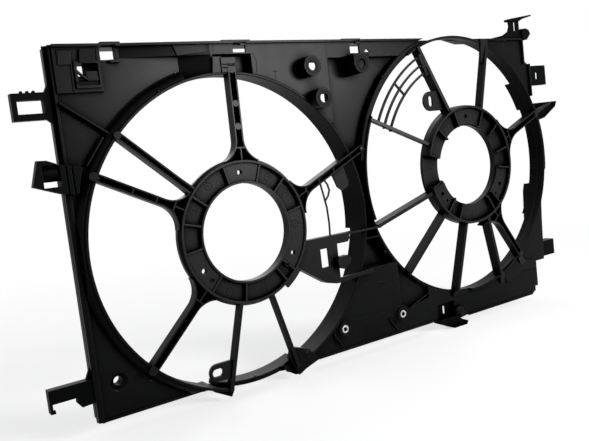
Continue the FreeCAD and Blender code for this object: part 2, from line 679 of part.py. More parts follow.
def flared_outline(length, width, root_width, root_length, y_low, y_high):
    """Spoke outline that widens at its root in two hollow arcs."""
    rise = (root_width - width) / 2
    radius = (root_length ** 2 + rise ** 2) / (2 * rise)
    turn = math.asin(root_length / radius) / 2
    mid_x = root_length - radius * math.sin(turn)
    mid_z = width / 2 + radius * (1 - math.cos(turn))

    def arc(sign):
        return Part.Arc(V(0, y_low, sign * root_width / 2), V(mid_x, y_low, sign * mid_z),
                        V(root_length, y_low, sign * width / 2)).toShape()

    upper = V(length, y_low, width / 2)
    lower = V(length, y_low, -width / 2)
    edges = [arc(1), Part.LineSegment(V(root_length, y_low, width / 2), upper).toShape(),
             Part.LineSegment(upper, lower).toShape(),
             Part.LineSegment(lower, V(root_length, y_low, -width / 2)).toShape(), arc(-1),
             Part.LineSegment(V(0, y_low, -root_width / 2), V(0, y_low, root_width / 2)).toShape()]
    return Part.Face(Part.Wire(Part.sortEdges(edges)[0])).extrude(V(0, y_high - y_low, 0))


def channel_spoke(length, width, flare, cross_ribs, pips):
    """Open channel along +X, with cross ribs and round pips at the given distances from its root."""
    flare_width, flare_length = flare
    inset = channel_wall
    outer = flared_outline(length, width, flare_width, flare_length, 0, channel_depth)
    hollow = flared_outline(length - inset, width - 2 * inset, flare_width - 3 * inset, flare_length,
                            -1, channel_depth - channel_floor)
    for distance in cross_ribs:
        hollow = hollow.cut(box(distance, distance + thin_rib, -30, 30, -flare_width, flare_width))
    for distance in pips:
        hollow = hollow.cut(disc((distance, 0), width / 2 - 1.2, -30, 30))
    if cross_ribs:
        hollow = hollow.cut(box(0, cross_ribs[0] + 0.5, -30, 30, -thin_rib / 2, thin_rib / 2))
    return joined([outer.cut(hollow), disc((length, 0), width / 2, 0, 3)])


def blade_spoke(length, depth, width):
    """Plain upright blade along +X, thicker at the back as it leaves the mould."""
    back = width / 2 + blade_draft
    profile = [V(0, 0, -width / 2), V(0, 0, width / 2), V(0, depth, back), V(0, depth, -back)]
    return Part.Face(Part.makePolygon(profile + profile[:1])).extrude(V(length, 0, 0))


# Channels: root and tip angles about the fan's axis, cross ribs, width, overrun into the barrel, and pips
left_channels = {
    "top": (86.8, 87.1, (13,), 9.6, 6.0, (36, 60)),
    "upper_right": (22.0, 22.9, (13, 34, 59), 8.0, 20.0, ()),
    "lower_left": (-137.1, -135.4, (13,), 9.0, 4.0, ()),
    "left": (154.0, 153.2, (11, 30, 55), 8.2, 5.0, ()),
    "upper_left": (138.2, 137.6, (), 7.2, 2.0, ()),
}
right_channels = {
    "right": (20.6, 20.4, (13,), 9.0, 2.0, ()),
    "lower_right": (-60.0, -54.7, (13,), 8.6, 3.0, ()),
}

# Blades: root and tip angles, and depth
left_blades = {
    "lower_right": (-73.3, -73.4, 7.0),
    "bottom": (-103.4, -103.3, 8.0),
}
right_blades = {
    "top": (112.0, 112.3, 13.0),
    "upper_right": (66.2, 67.8, 10.0),
    "lower": (-70.0, -71.2, 13.0),
    "bottom": (-102.2, -101.5, 12.0),
    "lower_left": (-132.3, -132.8, 13.0),
    "left": (-158.0, -160.0, 13.0),
}


def make_spokes():
    """All the spokes, each cut back to the ring that it leaves and the barrel that it meets."""
    start_r = ring_outer_r - 3
    plans = [("left", left_fan, left_channels, left_blades, left_root_y, left_flare),
             ("right", right_fan, right_channels, right_blades, right_root_y, right_flare)]
    panels = [nodes[name] for name in nodes if name.startswith("panel_")]
    for side, fan, channels, blades, root_y, flare in plans:
        seats = [nodes["motor_ring_" + side], disc(fan, ring_inside_r, -60, 60), nodes["barrel_" + side],
                 nodes["barrel_right"], nodes["valley_web"]] + panels
        placed = []
        for name, (root_deg, tip_deg, cross, width, overrun, pips) in channels.items():
            start, end = polar(fan, start_r, root_deg), polar(fan, fan_bore_r, tip_deg)
            root_flare = flare if cross else (width + 2, flare[1])
            spoke = channel_spoke(math.dist(start, end) + overrun, width, root_flare, cross, pips)
            spoke = trimmed(along(start, end, spoke, root_y, spoke_tip_y), seats + placed)
            nodes["spoke_%s_%s" % (side, name)] = spoke
            placed.append(spoke)
        for name, (root_deg, tip_deg, depth) in blades.items():
            start, end = polar(fan, start_r, root_deg), polar(fan, fan_bore_r, tip_deg)
            spoke = blade_spoke(math.dist(start, end) + barrel_wall, depth, blade_width)
            nodes["spoke_%s_%s" % (side, name)] = trimmed(along(start, end, spoke, root_y, spoke_tip_y),
                                                          seats + placed)


def make_guard_spoke():
    """Shallow spoke on the right fan that carries the lower ends of the blade guard."""
    start = polar(right_fan, ring_outer_r - 3, guard_spoke_deg)
    end = polar(right_fan, fan_bore_r, guard_spoke_deg)
    spoke = blade_spoke(math.dist(start, end) + barrel_wall, guard_spoke_depth, blade_width - blade_draft)
    seats = [nodes["motor_ring_right"], nodes["barrel_right"], disc(right_fan, ring_inside_r, -60, 60)]
    nodes["spoke_right_guard"] = trimmed(along(start, end, spoke, right_root_y, spoke_tip_y), seats)


def make_guard():
    """Three arcs between two spokes that keep fingers off the blades, tied across their middle."""
    back_y = guard_front_y + guard_bar_depth
    reach = sector(right_fan, guard_from_deg - 3, guard_to_deg + 3, -20, 20)
    radii = [fan_bore_r - inset for inset in guard_insets]
    arcs = [ring(right_fan, r - guard_bar / 2, r + guard_bar / 2, guard_front_y, back_y).common(reach)
            for r in radii]
    low, high = (polar(right_fan, r, guard_tie_deg) for r in (radii[0], radii[-1]))
    tie = box(0, math.dist(low, high), guard_front_y, back_y - 0.6, -guard_bar / 2, guard_bar / 2)
    tie = along(low, high, tie)
    clamp_start, clamp_end = (polar(right_fan, r, right_blades["top"][1])
                              for r in (radii[0] - 5, radii[-1] + 3))
    clamp_length = math.dist(clamp_start, clamp_end)
    clamp = along(clamp_start, clamp_end, box(0, clamp_length, guard_front_y - 1, back_y + 3, 0, 7))
    clamp = trimmed(clamp, [nodes["spoke_right_top"]])
    nodes["guard_clamp"] = clamp
    nodes["blade_guard"] = trimmed(joined(arcs + [tie]),
                                   [clamp, nodes["spoke_right_guard"], nodes["spoke_right_top"]])


def make_spoke_fittings():
    """Block that ends the top spoke, foot of the bottom one, and small plate under the upper right one."""
    tip_x = polar(left_fan, fan_bore_r, left_channels["top"][1])[0]
    foot_z = barrel_outer_r - 1
    block = box(tip_x - 14.3, tip_x + 5.7, -3, 9, foot_z, foot_z + 15)
    for z in (foot_z + 4, foot_z + 7.5):
        block = block.cut(box(tip_x - 10.3, tip_x + 7, -4, -1.4, z, z + 0.9))
    block = block.cut(box(tip_x - 16, tip_x - 11.3, -4, 4, foot_z - 1, foot_z + 16))
    nodes["top_spoke_block"] = trimmed(block, [nodes["spoke_left_top"], nodes["barrel_left"],
                                               nodes["panel_plateau"]])

    foot = plate_of([polar(left_fan, barrel_outer_r + out, degrees) for out, degrees in
                     ((0.1, -110.9), (2.3, -108.5), (7.2, -101.8), (-0.3, -100.9), (-5.2, -101.2))],
                    centre_y, centre_y + 8)
    nodes["bottom_spoke_foot"] = trimmed(foot, [disc(left_fan, barrel_outer_r - bottom_arc_step, -60, 60),
                                                nodes["barrel_left"], nodes["panel_lower_left"],
                                                nodes["spoke_left_bottom"]])

    middle = polar(left_fan, barrel_outer_r - 25.8, 16.5)
    gusset = shifted([(-13, 7.6), (4, 14.6), (10, -4.4), (9, -9.4), (0, -13.9), (-6, -9.4)], *middle)
    nodes["spoke_gusset"] = trimmed(plate_of(gusset, -1.5, 1.5),
                                    [nodes["spoke_left_upper_right"], nodes["barrel_left"]])


def slotted_tab(eye, radius, reach_x, slot_half, slot_r, upright, y_low, y_high):
    """Rounded lug with a slot, reaching sideways to the spoke that carries it."""
    lug = joined([disc(eye, radius, y_low, y_high),
                  box(eye[0], reach_x, y_low, y_high, eye[1] - radius, eye[1] + radius)])
    across, up = (0, slot_half) if upright else (slot_half, 0)
    ends = [(eye[0] - across, eye[1] - up), (eye[0] + across, eye[1] + up)]
    wide, tall = (slot_r, slot_half) if upright else (slot_half, slot_r)
    middle = box(eye[0] - wide, eye[0] + wide, y_low - 1, y_high + 1, eye[1] - tall, eye[1] + tall)
    return lug.cut(joined([disc(end, slot_r, y_low - 1, y_high + 1) for end in ends] + [middle]))


def make_slotted_tabs():
    """Tab beside the right fan's top spoke, and a smaller one beside the left fan's bottom spoke."""
    eye = polar(right_fan, ring_outer_r + 24.6, 122.6)
    upper = slotted_tab(eye, 12.3, eye[0] + 22.5, tab_slot_half, tab_slot_r, True, -7.0, -4.5)
    nodes["slotted_tab_right"] = trimmed(upper, [nodes["spoke_right_top"], nodes["motor_ring_right"]])
    eye = polar(left_fan, fan_bore_r - 16.2, -110.2)
    lower = slotted_tab(eye, 9.4, eye[0] + 17.5, low_tab_slot_half, low_tab_slot_r, False, -2.5, 0.8)
    nodes["slotted_tab_left"] = trimmed(lower, [nodes["spoke_left_bottom"]])


# Standoffs, inserts and the arm


def standoff(place, foot_y, squared_top=0.0):
    """Hollow post with a flat face and a screw hole, moulded up from the panel."""
    x, z = place
    post = disc(place, standoff_r, standoff_face_y, foot_y)
    if squared_top:
        square = box(x - standoff_r, x + standoff_r, standoff_face_y, foot_y, z, z + squared_top)
        post = joined([post, square])
    core = disc(place, standoff_r - standoff_wall, standoff_face_y + standoff_face, foot_y + 10)
    relief = box(x, x + 2 * standoff_r, standoff_face_y + 2 * standoff_face, foot_y + 10,
                 z - relief_half, z + relief_half)
    return post.cut(core).cut(relief).cut(disc(place, standoff_hole_r, standoff_face_y - 1, foot_y + 10))


def make_standoffs():
    """Three standoffs that carry a control box in the corner between the barrels."""
    nodes["standoff_upper"] = standoff(standoff_upper, plateau_y)
    nodes["standoff_lower"] = trimmed(standoff(standoff_lower, plateau_y), [nodes["barrel_left"]])
    nodes["standoff_side"] = trimmed(standoff(standoff_side, recess_y, standoff_r),
                                     [nodes["panel_between"]])


def make_inserts():
    """Moulded bosses in the lower panel, each with a threaded metal sleeve and a small gusset beside it."""
    back_y = insert_face_y + plate + insert_length
    sleeves = []
    for name, place in zip(("left", "right"), insert_places):
        boss = disc(place, insert_boss_r, insert_face_y, back_y)
        boss = boss.cut(disc(place, insert_r, insert_face_y - 1, back_y - 2))
        sleeve = disc(place, insert_r, insert_face_y - insert_proud, back_y - 2)
        sleeves.append(sleeve.cut(disc(place, insert_bore_r, insert_face_y - 1, back_y)))
        nodes["insert_boss_" + name] = trimmed(boss, [nodes["panel_lower_centre"]])
    nodes["insert_sleeves"] = Part.makeCompound(sleeves)
    for name, place, start, end in (("left", insert_places[0], (-16.3, -1.7), (-5.3, -20.7)),
                                    ("right", insert_places[1], (-21.7, -2.1), (-9.7, -18.1))):
        start, end = shifted([start, end], *place)
        gusset = along(start, end, box(0, math.dist(start, end), centre_y - 2, centre_y, -rib / 2, rib / 2))
        nodes["insert_gusset_" + name] = trimmed(gusset, [nodes["insert_boss_" + name],
                                                          nodes["panel_lower_centre"]])


def make_connector_arm():
    """Arm from the left motor ring across to the lower panel, with the window that holds a plug."""
    front = arm_front_y
    reach = barrel_outer_r - 1
    side_x = ring_outer_r + 40.4
    root_high = (ring_inside_r - 11, arm_top_z - 1.5)
    root_low = polar(left_fan, ring_inside_r + 5, -39.8)
    sheet = plate_of([root_high, (side_x + 19, arm_top_z - 1.5), (side_x + 19, arm_top_z - 6.5),
                      (side_x + 16, arm_top_z - 10.5), (side_x, arm_top_z - 10.5),
                      (side_x, arm_top_z - 50.5), (reach, arm_top_z - 48.5), (reach, arm_top_z - 52.5),
                      (side_x, arm_top_z - 56), (side_x - 6, arm_top_z - 56),
                      (side_x - 20, arm_top_z - 52.5), root_low], front, front + arm_sheet)
    x_low, x_high, z_low, z_high = arm_window
    window = box(ring_outer_r + x_low, ring_outer_r + x_high, -10, 10, z_low, z_high)
    top_flange = box(ring_inside_r, reach + 23, front, front + 9, arm_top_z - plate, arm_top_z)
    lower_flange = plate_of([root_low, (side_x - 20, arm_top_z - 52.5), (side_x - 6, arm_top_z - 56),
                             (side_x, arm_top_z - 56), (reach, arm_top_z - 52.5), (reach, arm_top_z - 50.5),
                             (side_x, arm_top_z - 53.5), (side_x - 6, arm_top_z - 53.5),
                             (side_x - 19, arm_top_z - 50.5), (root_low[0] + 1.5, root_low[1] + 2.3)],
                            front, front + 12)
    side_flange = box(side_x - plate, side_x, front, front + 8, arm_top_z - 50.5, arm_top_z - 9.5)
    arm = joined([sheet, top_flange, lower_flange, side_flange]).cut(window)
    seats = [nodes["motor_ring_left"], disc(left_fan, ring_inside_r, -60, 60), nodes["barrel_right"],
             nodes["barrel_left"], nodes["panel_lower_centre"], nodes["valley_web"],
             nodes["spoke_right_left"], disc(right_fan, fan_bore_r, -60, 60),
             nodes["spoke_left_upper_right"]]
    nodes["connector_bracket"] = trimmed(arm, seats)
    knob = shifted([(-7, -27.5), (-4, -25), (8, -24.5), (12, -28.5), (10, -34.5), (1, -39.5), (-6, -37.5)],
                   side_x, arm_top_z)
    nodes["connector_knob"] = plate_of(knob, front - 8, front)


def strip_through(points):
    """Thin square strip that follows the given (x, z) points."""
    pieces = []
    for start, end in zip(points, points[1:]):
        length = math.dist(start, end) + tether_half
        pieces.append(along(start, end, box(0, length, tether_y - tether_half, tether_y + tether_half,
                                            -tether_half, tether_half)))
    return joined(pieces)


def make_tether():
    """Thin sprung loop under the upper right spoke, running down to the connector arm."""
    x = ring_outer_r + 28
    stem = strip_through(shifted([(-1, 42), (2.5, 26), (5.5, 10), (6.3, -8), (5.6, arm_top_z)], x, 0))
    bow = strip_through(shifted([(4.5, 43.5), (9.8, 36), (11.6, 29), (9, 23), (3.8, 17.5)], x, 0))
    nodes["tether_loop"] = trimmed(joined([stem, bow]), [nodes["spoke_left_upper_right"],
                                                         nodes["connector_bracket"]])


# Brackets


def make_left_window_bracket():
    """Framed window that stands out from the left flange."""
    low_z, high_z = 133.0, 158.0
    end_x = left_edge_x - bracket_reach
    width, height = bracket_window
    window_x = end_x + 4.7
    window_z = low_z + 6
    frame = box(end_x, left_edge_x, flange_y, flange_y + 9, low_z, high_z)
    frame = frame.cut(box(window_x, window_x + width, 0, 60, window_z, window_z + height))
    upper = plate_of([(left_edge_x, high_z), (left_edge_x - 3.5, high_z), (left_edge_x, high_z + 7)],
                     flange_y, flange_y + 4)
    lower = plate_of([(left_edge_x, low_z), (left_edge_x - 4.5, low_z), (left_edge_x, low_z - 4)],
                     flange_y, flange_y + 4)
    nodes["bracket_window_left"] = joined([frame, upper, lower])


def make_left_clip():
    """Boxed hose clip on the left side, with a curved saddle across its opening."""
    front = clip_front_y
    x, z = left_edge_x, 63.0
    shell = plate_of(shifted([(-23.5, 33), (-15.5, 32.5), (-4, 27.5), (15.5, 23), (9.5, 0), (-5.5, 1),
                              (-30, 10)], x, z), front, front + 8)
    root = plate_of(shifted([(-4, 27.5), (15.5, 23), (9.5, 0), (-4, 1)], x, z), front, flange_y)
    opening = box(x - 20.5, x - 4.5, -20, 60, z + 8, z + 28.5)
    axis = V(x - 20.5, 8.5, z + 21)
    saddle = Part.makeCylinder(10, 16, axis, V(1, 0, 0)).cut(Part.makeCylinder(8, 16, axis, V(1, 0, 0)))
    saddle = saddle.common(box(x - 20.5, x - 4.5, -1.5, 4, z + 13, z + 28.5))
    clip = joined([joined([shell, root]).cut(opening), saddle])
    for groove_x in (x, x + 5.5):
        clip = clip.cut(box(groove_x, groove_x + 1.8, front - 1, front + 1.6, z - 8, z + 37))
    clip = clip.cut(box(x - 2, x + 13.5, front + 3, flange_y + 1, z + 4, z + 23))
    nodes["clip_box_left"] = trimmed(clip, [nodes["barrel_left"], nodes["left_edge_channel"],
                                            nodes["panel_upper_left"]])


def make_left_hook_arm():
    """Hooked arm at the foot of the left side."""
    x, z = left_edge_x, bottom_left_z
    y = hook_arm_y
    end_x = x - hook_reach
    beam = box(end_x, x, y, y + 9, z + 31, z + 44.5)
    hollow = box(end_x + bracket_wall, x - bracket_wall, y + plate, y + 11, z + 33.5, z + 42)
    end_hook = joined([box(end_x, end_x + bracket_wall, y, y + 9, z + 22, z + 44.5),
                       box(end_x, end_x + 4.5, y, y + 4, z + 22, z + 25)])
    middle_hook = plate_of(shifted([(-16, 32), (-16.5, 26), (-12.5, 20.5), (0, 21.5), (0, 32)], x, z),
                           y, y + 6)
    gusset = plate_of(shifted([(0, 44), (-5, 44), (0, 55)], x, z), y + 4, y + 7)
    arm = joined([beam.cut(hollow), end_hook, middle_hook, gusset])
    nodes["hook_arm_left"] = trimmed(arm, [nodes["left_edge_channel"]])


def make_gusset_ribs():
    """Thin stiffening ribs in the upper left corner, standing on the base sheet."""
    upper_end = polar(left_fan, barrel_outer_r + 1.6, 138.0)
    upper_start = (inner_edge_x + 0.1, upper_end[1] + 32.5)
    lower_start = polar(left_fan, barrel_outer_r + 7.4, 140.3)
    lower_end = polar(left_fan, barrel_outer_r + 8.9, 150.6)
    seats = [nodes["barrel_left"], nodes["left_edge_channel"], nodes["panel_upper_left"],
             nodes["clip_box_left"]]
    for name, start, end, front_y in (("upper", upper_start, upper_end, 3.5),
                                      ("lower", lower_start, lower_end, 3.0)):
        blade = box(0, math.dist(start, end), front_y, base_y, -thin_rib / 2, thin_rib / 2)
        nodes["gusset_rib_" + name] = trimmed(along(start, end, blade), seats)


def make_top_hook():
    """Hook with a swept blade that stands on the upper right corner."""
    y = base_y
    x, z = right_top_x, top_edge_z
    blade = plate_of(shifted([(-24, 24), (-24, 27), (23.5, 33.3), (23.5, 31.3), (3.5, 27), (-3.5, 24)],
                             x, z), y - 2, y + 8)
    stem = plate_of(shifted([(-27.5, 0), (-26.5, 9.8), (-23, 16.8), (-24, 24.8), (-2.5, 24.8), (-2.5, 12.8),
                             (3.5, 13.8), (7.5, -1), (5.5, 0)], x, z), y, y + plate)
    stem = stem.cut(box(x - 14, x - 9.3, 0, 60, z + 10.8, z + 23.3))
    foot = plate_of(shifted([(-67.5, 0), (-37.5, 4.8), (-26.5, 9.8), (-26.5, 0)], x, z), y, y + plate)
    knob = plate_of(shifted([(0.5, 3.8), (1.5, 11.8), (6.5, 13.8), (14.5, 11.8), (17.5, 5.8), (9.5, -2.2),
                             (3.5, -2.2)], x, z), y - 3, y + 5)
    nodes["top_hook"] = trimmed(joined([blade, stem, foot, knob]), [nodes["panel_upper_right"]])


def make_side_tab():
    """Slotted tab on the right side, a tray open to the back."""
    y = base_y
    x_low = right_reach_x - 1
    x_high = x_low + side_tab_reach
    z_low, z_high = top_edge_z - 67.2, top_edge_z - 39.2
    tab = box(x_low, x_high, y, y + 9, z_low, z_high)
    tab = tab.cut(box(x_low - 1, x_high - bracket_wall, y + plate, y + 10, z_low + bracket_wall,
                      z_high - bracket_wall))
    tab = tab.cut(box(x_low + 14, x_low + 19.5, 0, 60, z_low + 9, z_low + 18))
    nodes["side_tab"] = trimmed(tab, [nodes["panel_upper_right"]])


def make_gusset_arm():
    """Pointed arm on the right side, with a wall along each edge."""
    y = base_y
    x, z = right_reach_x, fan_rise
    arm = plate_of(shifted([(-10, 72), (54, 72.5), (51, 65), (24, 50), (-10, 44)], x, z), y, y + plate)
    upper = plate_of(shifted([(-10, 69.5), (54, 70), (54, 72.5), (-10, 72)], x, z), y - 2, y + 8)
    lower = plate_of(shifted([(-10, 44), (24, 50), (51, 65), (54, 72), (50.6, 67.6), (23.4, 52.4),
                              (-10, 46.5)], x, z), y - 2, y + 8)
    nodes["gusset_arm"] = trimmed(joined([arm, upper, lower]),
                                  [disc(right_fan, barrel_outer_r, -60, 60), nodes["panel_upper_right"]])


def make_side_box():
    """Small open box at the foot of the right side."""
    y = base_y
    x_low, x_high = right_box_x, right_box_x + side_box_reach
    z_low, z_high = bottom_right_z + 49, bottom_right_z + 71
    block = box(x_low, x_high, y - 2, y + 12, z_low, z_high)
    block = block.cut(box(x_low + bracket_wall, x_high - bracket_wall, y, y + 13, z_low + bracket_wall,
                          z_high - bracket_wall))
    nodes["side_box"] = trimmed(block, [nodes["panel_lower_right"]])


standoff_upper = (middle_x - 66, top_edge_z - 30.4)
standoff_lower = polar(left_fan, barrel_outer_r + 8.1, 49.06)
standoff_side = (middle_x + 4.5, top_edge_z - 29.7)
insert_places = (polar(left_fan, barrel_outer_r + 13.04, -48.36), (middle_x + 41.2, bottom_centre_z + 23.6))
foot_low_x, foot_high_x = (right_fan[0] - reach for reach in foot_from_fan)

make_barrels()
make_left_edge()
make_panel_upper_left()
make_plateau()
make_panel_between()
make_panel_upper_right()
make_panel_lower_left()
make_panel_lower_centre()
make_panel_lower_right()
make_bottom_foot()
make_valley()
make_motor_rings()
make_spokes()
make_guard_spoke()
make_guard()
make_spoke_fittings()
make_slotted_tabs()
make_standoffs()
make_inserts()
make_connector_arm()
make_tether()
make_left_window_bracket()
make_left_clip()
make_left_hook_arm()
make_gusset_ribs()
make_top_hook()
make_side_tab()
make_gusset_arm()
make_side_box()

os.makedirs("parts", exist_ok=True)
for name, solid in nodes.items():
    solid.exportStep("parts/%s.step" % name)
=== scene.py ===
import json
import logging
import math
from collections.abc import Sequence
from dataclasses import dataclass
from enum import Enum

import bmesh
import bpy
from mathutils import Matrix, Vector


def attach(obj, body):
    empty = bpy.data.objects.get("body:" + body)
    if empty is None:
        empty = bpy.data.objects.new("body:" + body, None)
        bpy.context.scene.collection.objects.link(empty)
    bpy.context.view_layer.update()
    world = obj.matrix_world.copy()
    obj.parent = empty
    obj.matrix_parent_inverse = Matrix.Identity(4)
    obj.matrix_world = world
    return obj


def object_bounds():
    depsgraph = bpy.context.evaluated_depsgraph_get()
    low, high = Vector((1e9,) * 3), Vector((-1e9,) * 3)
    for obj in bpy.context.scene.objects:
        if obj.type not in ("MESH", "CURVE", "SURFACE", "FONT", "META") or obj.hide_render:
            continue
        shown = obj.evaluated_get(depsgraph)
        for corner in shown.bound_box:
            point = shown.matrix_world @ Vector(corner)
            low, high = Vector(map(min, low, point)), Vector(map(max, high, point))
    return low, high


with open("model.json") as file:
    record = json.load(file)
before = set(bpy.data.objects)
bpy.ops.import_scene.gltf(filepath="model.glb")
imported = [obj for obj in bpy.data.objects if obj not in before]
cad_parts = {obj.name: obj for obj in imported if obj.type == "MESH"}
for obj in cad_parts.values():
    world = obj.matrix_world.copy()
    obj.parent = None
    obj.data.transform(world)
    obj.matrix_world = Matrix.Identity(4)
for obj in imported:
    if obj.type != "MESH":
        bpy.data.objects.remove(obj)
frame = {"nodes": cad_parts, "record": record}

log = logging.getLogger("fan_shroud")
MM = 0.001
ROOT = "root"
CAD_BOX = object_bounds()
AXIS_R = 0.01  # where the faces of a solid round form stop short of its axis, in millimetres
SOFT_SHARE = 0.3  # share of an edge's rounding that its cut corner takes
Pair = tuple[float, float]
Triple = tuple[float, float, float]
Socket = bpy.types.NodeSocket


class Slot(Enum):
    """Material slots of the record that pieces and solids take their finish from."""

    PANEL = "panel_plastic"
    BARREL = "barrel_plastic"
    RING = "ring_plastic"
    SPOKE = "spoke_plastic"
    BRACKET = "bracket_plastic"
    INSERT = "insert_metal"


class Nodes:
    """Short way to build the node tree of a material or of the world."""

    def __init__(self, owner: bpy.types.Material | bpy.types.World) -> None:
        """Clears the owner's tree.

        Args:
            owner: The material or world whose tree is built.
        """
        owner.use_nodes = True
        self.tree = owner.node_tree
        self.tree.nodes.clear()

    def add(self, kind: str, **values: object) -> bpy.types.Node:
        """Adds a node.

        Args:
            kind: Blender's node type.
            **values: Properties of the node, or default values of its sockets with spaces as underscores.

        Returns:
            The new node.
        """
        node = self.tree.nodes.new(kind)
        for key, value in values.items():
            socket = node.inputs.get(key.replace("_", " "))
            if socket is not None:
                socket.default_value = value
            else:
                setattr(node, key, value)
        return node

    def link(self, output: Socket, socket: Socket) -> None:
        """Joins an output to an input."""
        self.tree.links.new(output, socket)

    def surface(self, shader: Socket, kind: str = "ShaderNodeOutputMaterial") -> None:
        """Joins a shader to a new output node of the tree."""
        self.link(shader, self.add(kind).inputs["Surface"])

    def scaled(self, value: Socket, results: Pair, stretch: Pair = (0.0, 1.0)) -> Socket:
        """Maps a value from one range to another.

        Args:
            value: Socket that gives the value.
            results: Result at the low and at the high end.
            stretch: Values that give these results.

        Returns:
            Socket with the mapped value.
        """
        node = self.add("ShaderNodeMapRange")
        node.inputs["From Min"].default_value, node.inputs["From Max"].default_value = stretch
        node.inputs["To Min"].default_value, node.inputs["To Max"].default_value = results
        self.link(value, node.inputs["Value"])
        return node.outputs["Result"]

    def maths(self, operation: str, first: Socket, second: Socket) -> Socket:
        """Puts two values through one operation.

        Args:
            operation: Blender's name of the operation.
            first: Socket with the first value.
            second: Socket with the second value.

        Returns:
            Socket with the result.
        """
        node = self.add("ShaderNodeMath", operation=operation)
        self.link(first, node.inputs[0])
        self.link(second, node.inputs[1])
        return node.outputs[0]

    def mixed(self, share: Socket, first: Socket, second: Socket) -> Socket:
        """Mixes two shaders.

        Args:
            share: Socket with the share of the second shader.
            first: The shader at a share of 0.
            second: The shader at a share of 1.

        Returns:
            Socket with the mixed shader.
        """
        node = self.add("ShaderNodeMixShader")
        for source, socket in zip((share, first, second), node.inputs):
            self.link(source, socket)
        return node.outputs[0]

    def noise(self, vector: Socket, scale: float, detail: float) -> Socket:
        """Adds a cloudy value.

        Args:
            vector: Socket with the place.
            scale: Cells per metre.
            detail: How many finer layers the noise has.

        Returns:
            Socket with the value.
        """
        node = self.add("ShaderNodeTexNoise", Scale=scale, Detail=detail)
        self.link(vector, node.inputs["Vector"])
        return node.outputs["Fac"]

    def ramp(self, value: Socket, stretch: Pair, dark: Triple, pale: Triple) -> Socket:
        """Turns a value into a colour.

        Args:
            value: Socket that gives the value.
            stretch: Values at which the dark colour ends and the pale one begins.
            dark: Linear colour below the stretch.
            pale: Linear colour above it.

        Returns:
            Socket with the colour.
        """
        node = self.add("ShaderNodeValToRGB")
        for stop, position, colour in zip(node.color_ramp.elements, stretch, (dark, pale)):
            stop.position = position
            stop.color = (*colour, 1)
        self.link(value, node.inputs["Fac"])
        return node.outputs["Color"]

    def rounded(self, radius_mm: float) -> Socket:
        """Adds the direction of the surface, with every edge rounded.

        Args:
            radius_mm: Radius of the rounding.

        Returns:
            Socket with the direction.
        """
        node = self.add("ShaderNodeBevel", samples=4)
        node.inputs["Radius"].default_value = radius_mm * MM
        return node.outputs[0]

    def bump(self, height: Socket, strength: float, height_mm: float) -> bpy.types.Node:
        """Adds a fine relief.

        Args:
            height: Socket with the height, from 0 to 1.
            strength: Share of the relief that shows.
            height_mm: Height of the relief.

        Returns:
            The bump node.
        """
        node = self.add("ShaderNodeBump", Strength=strength)
        node.inputs["Distance"].default_value = height_mm * MM
        self.link(height, node.inputs["Height"])
        return node


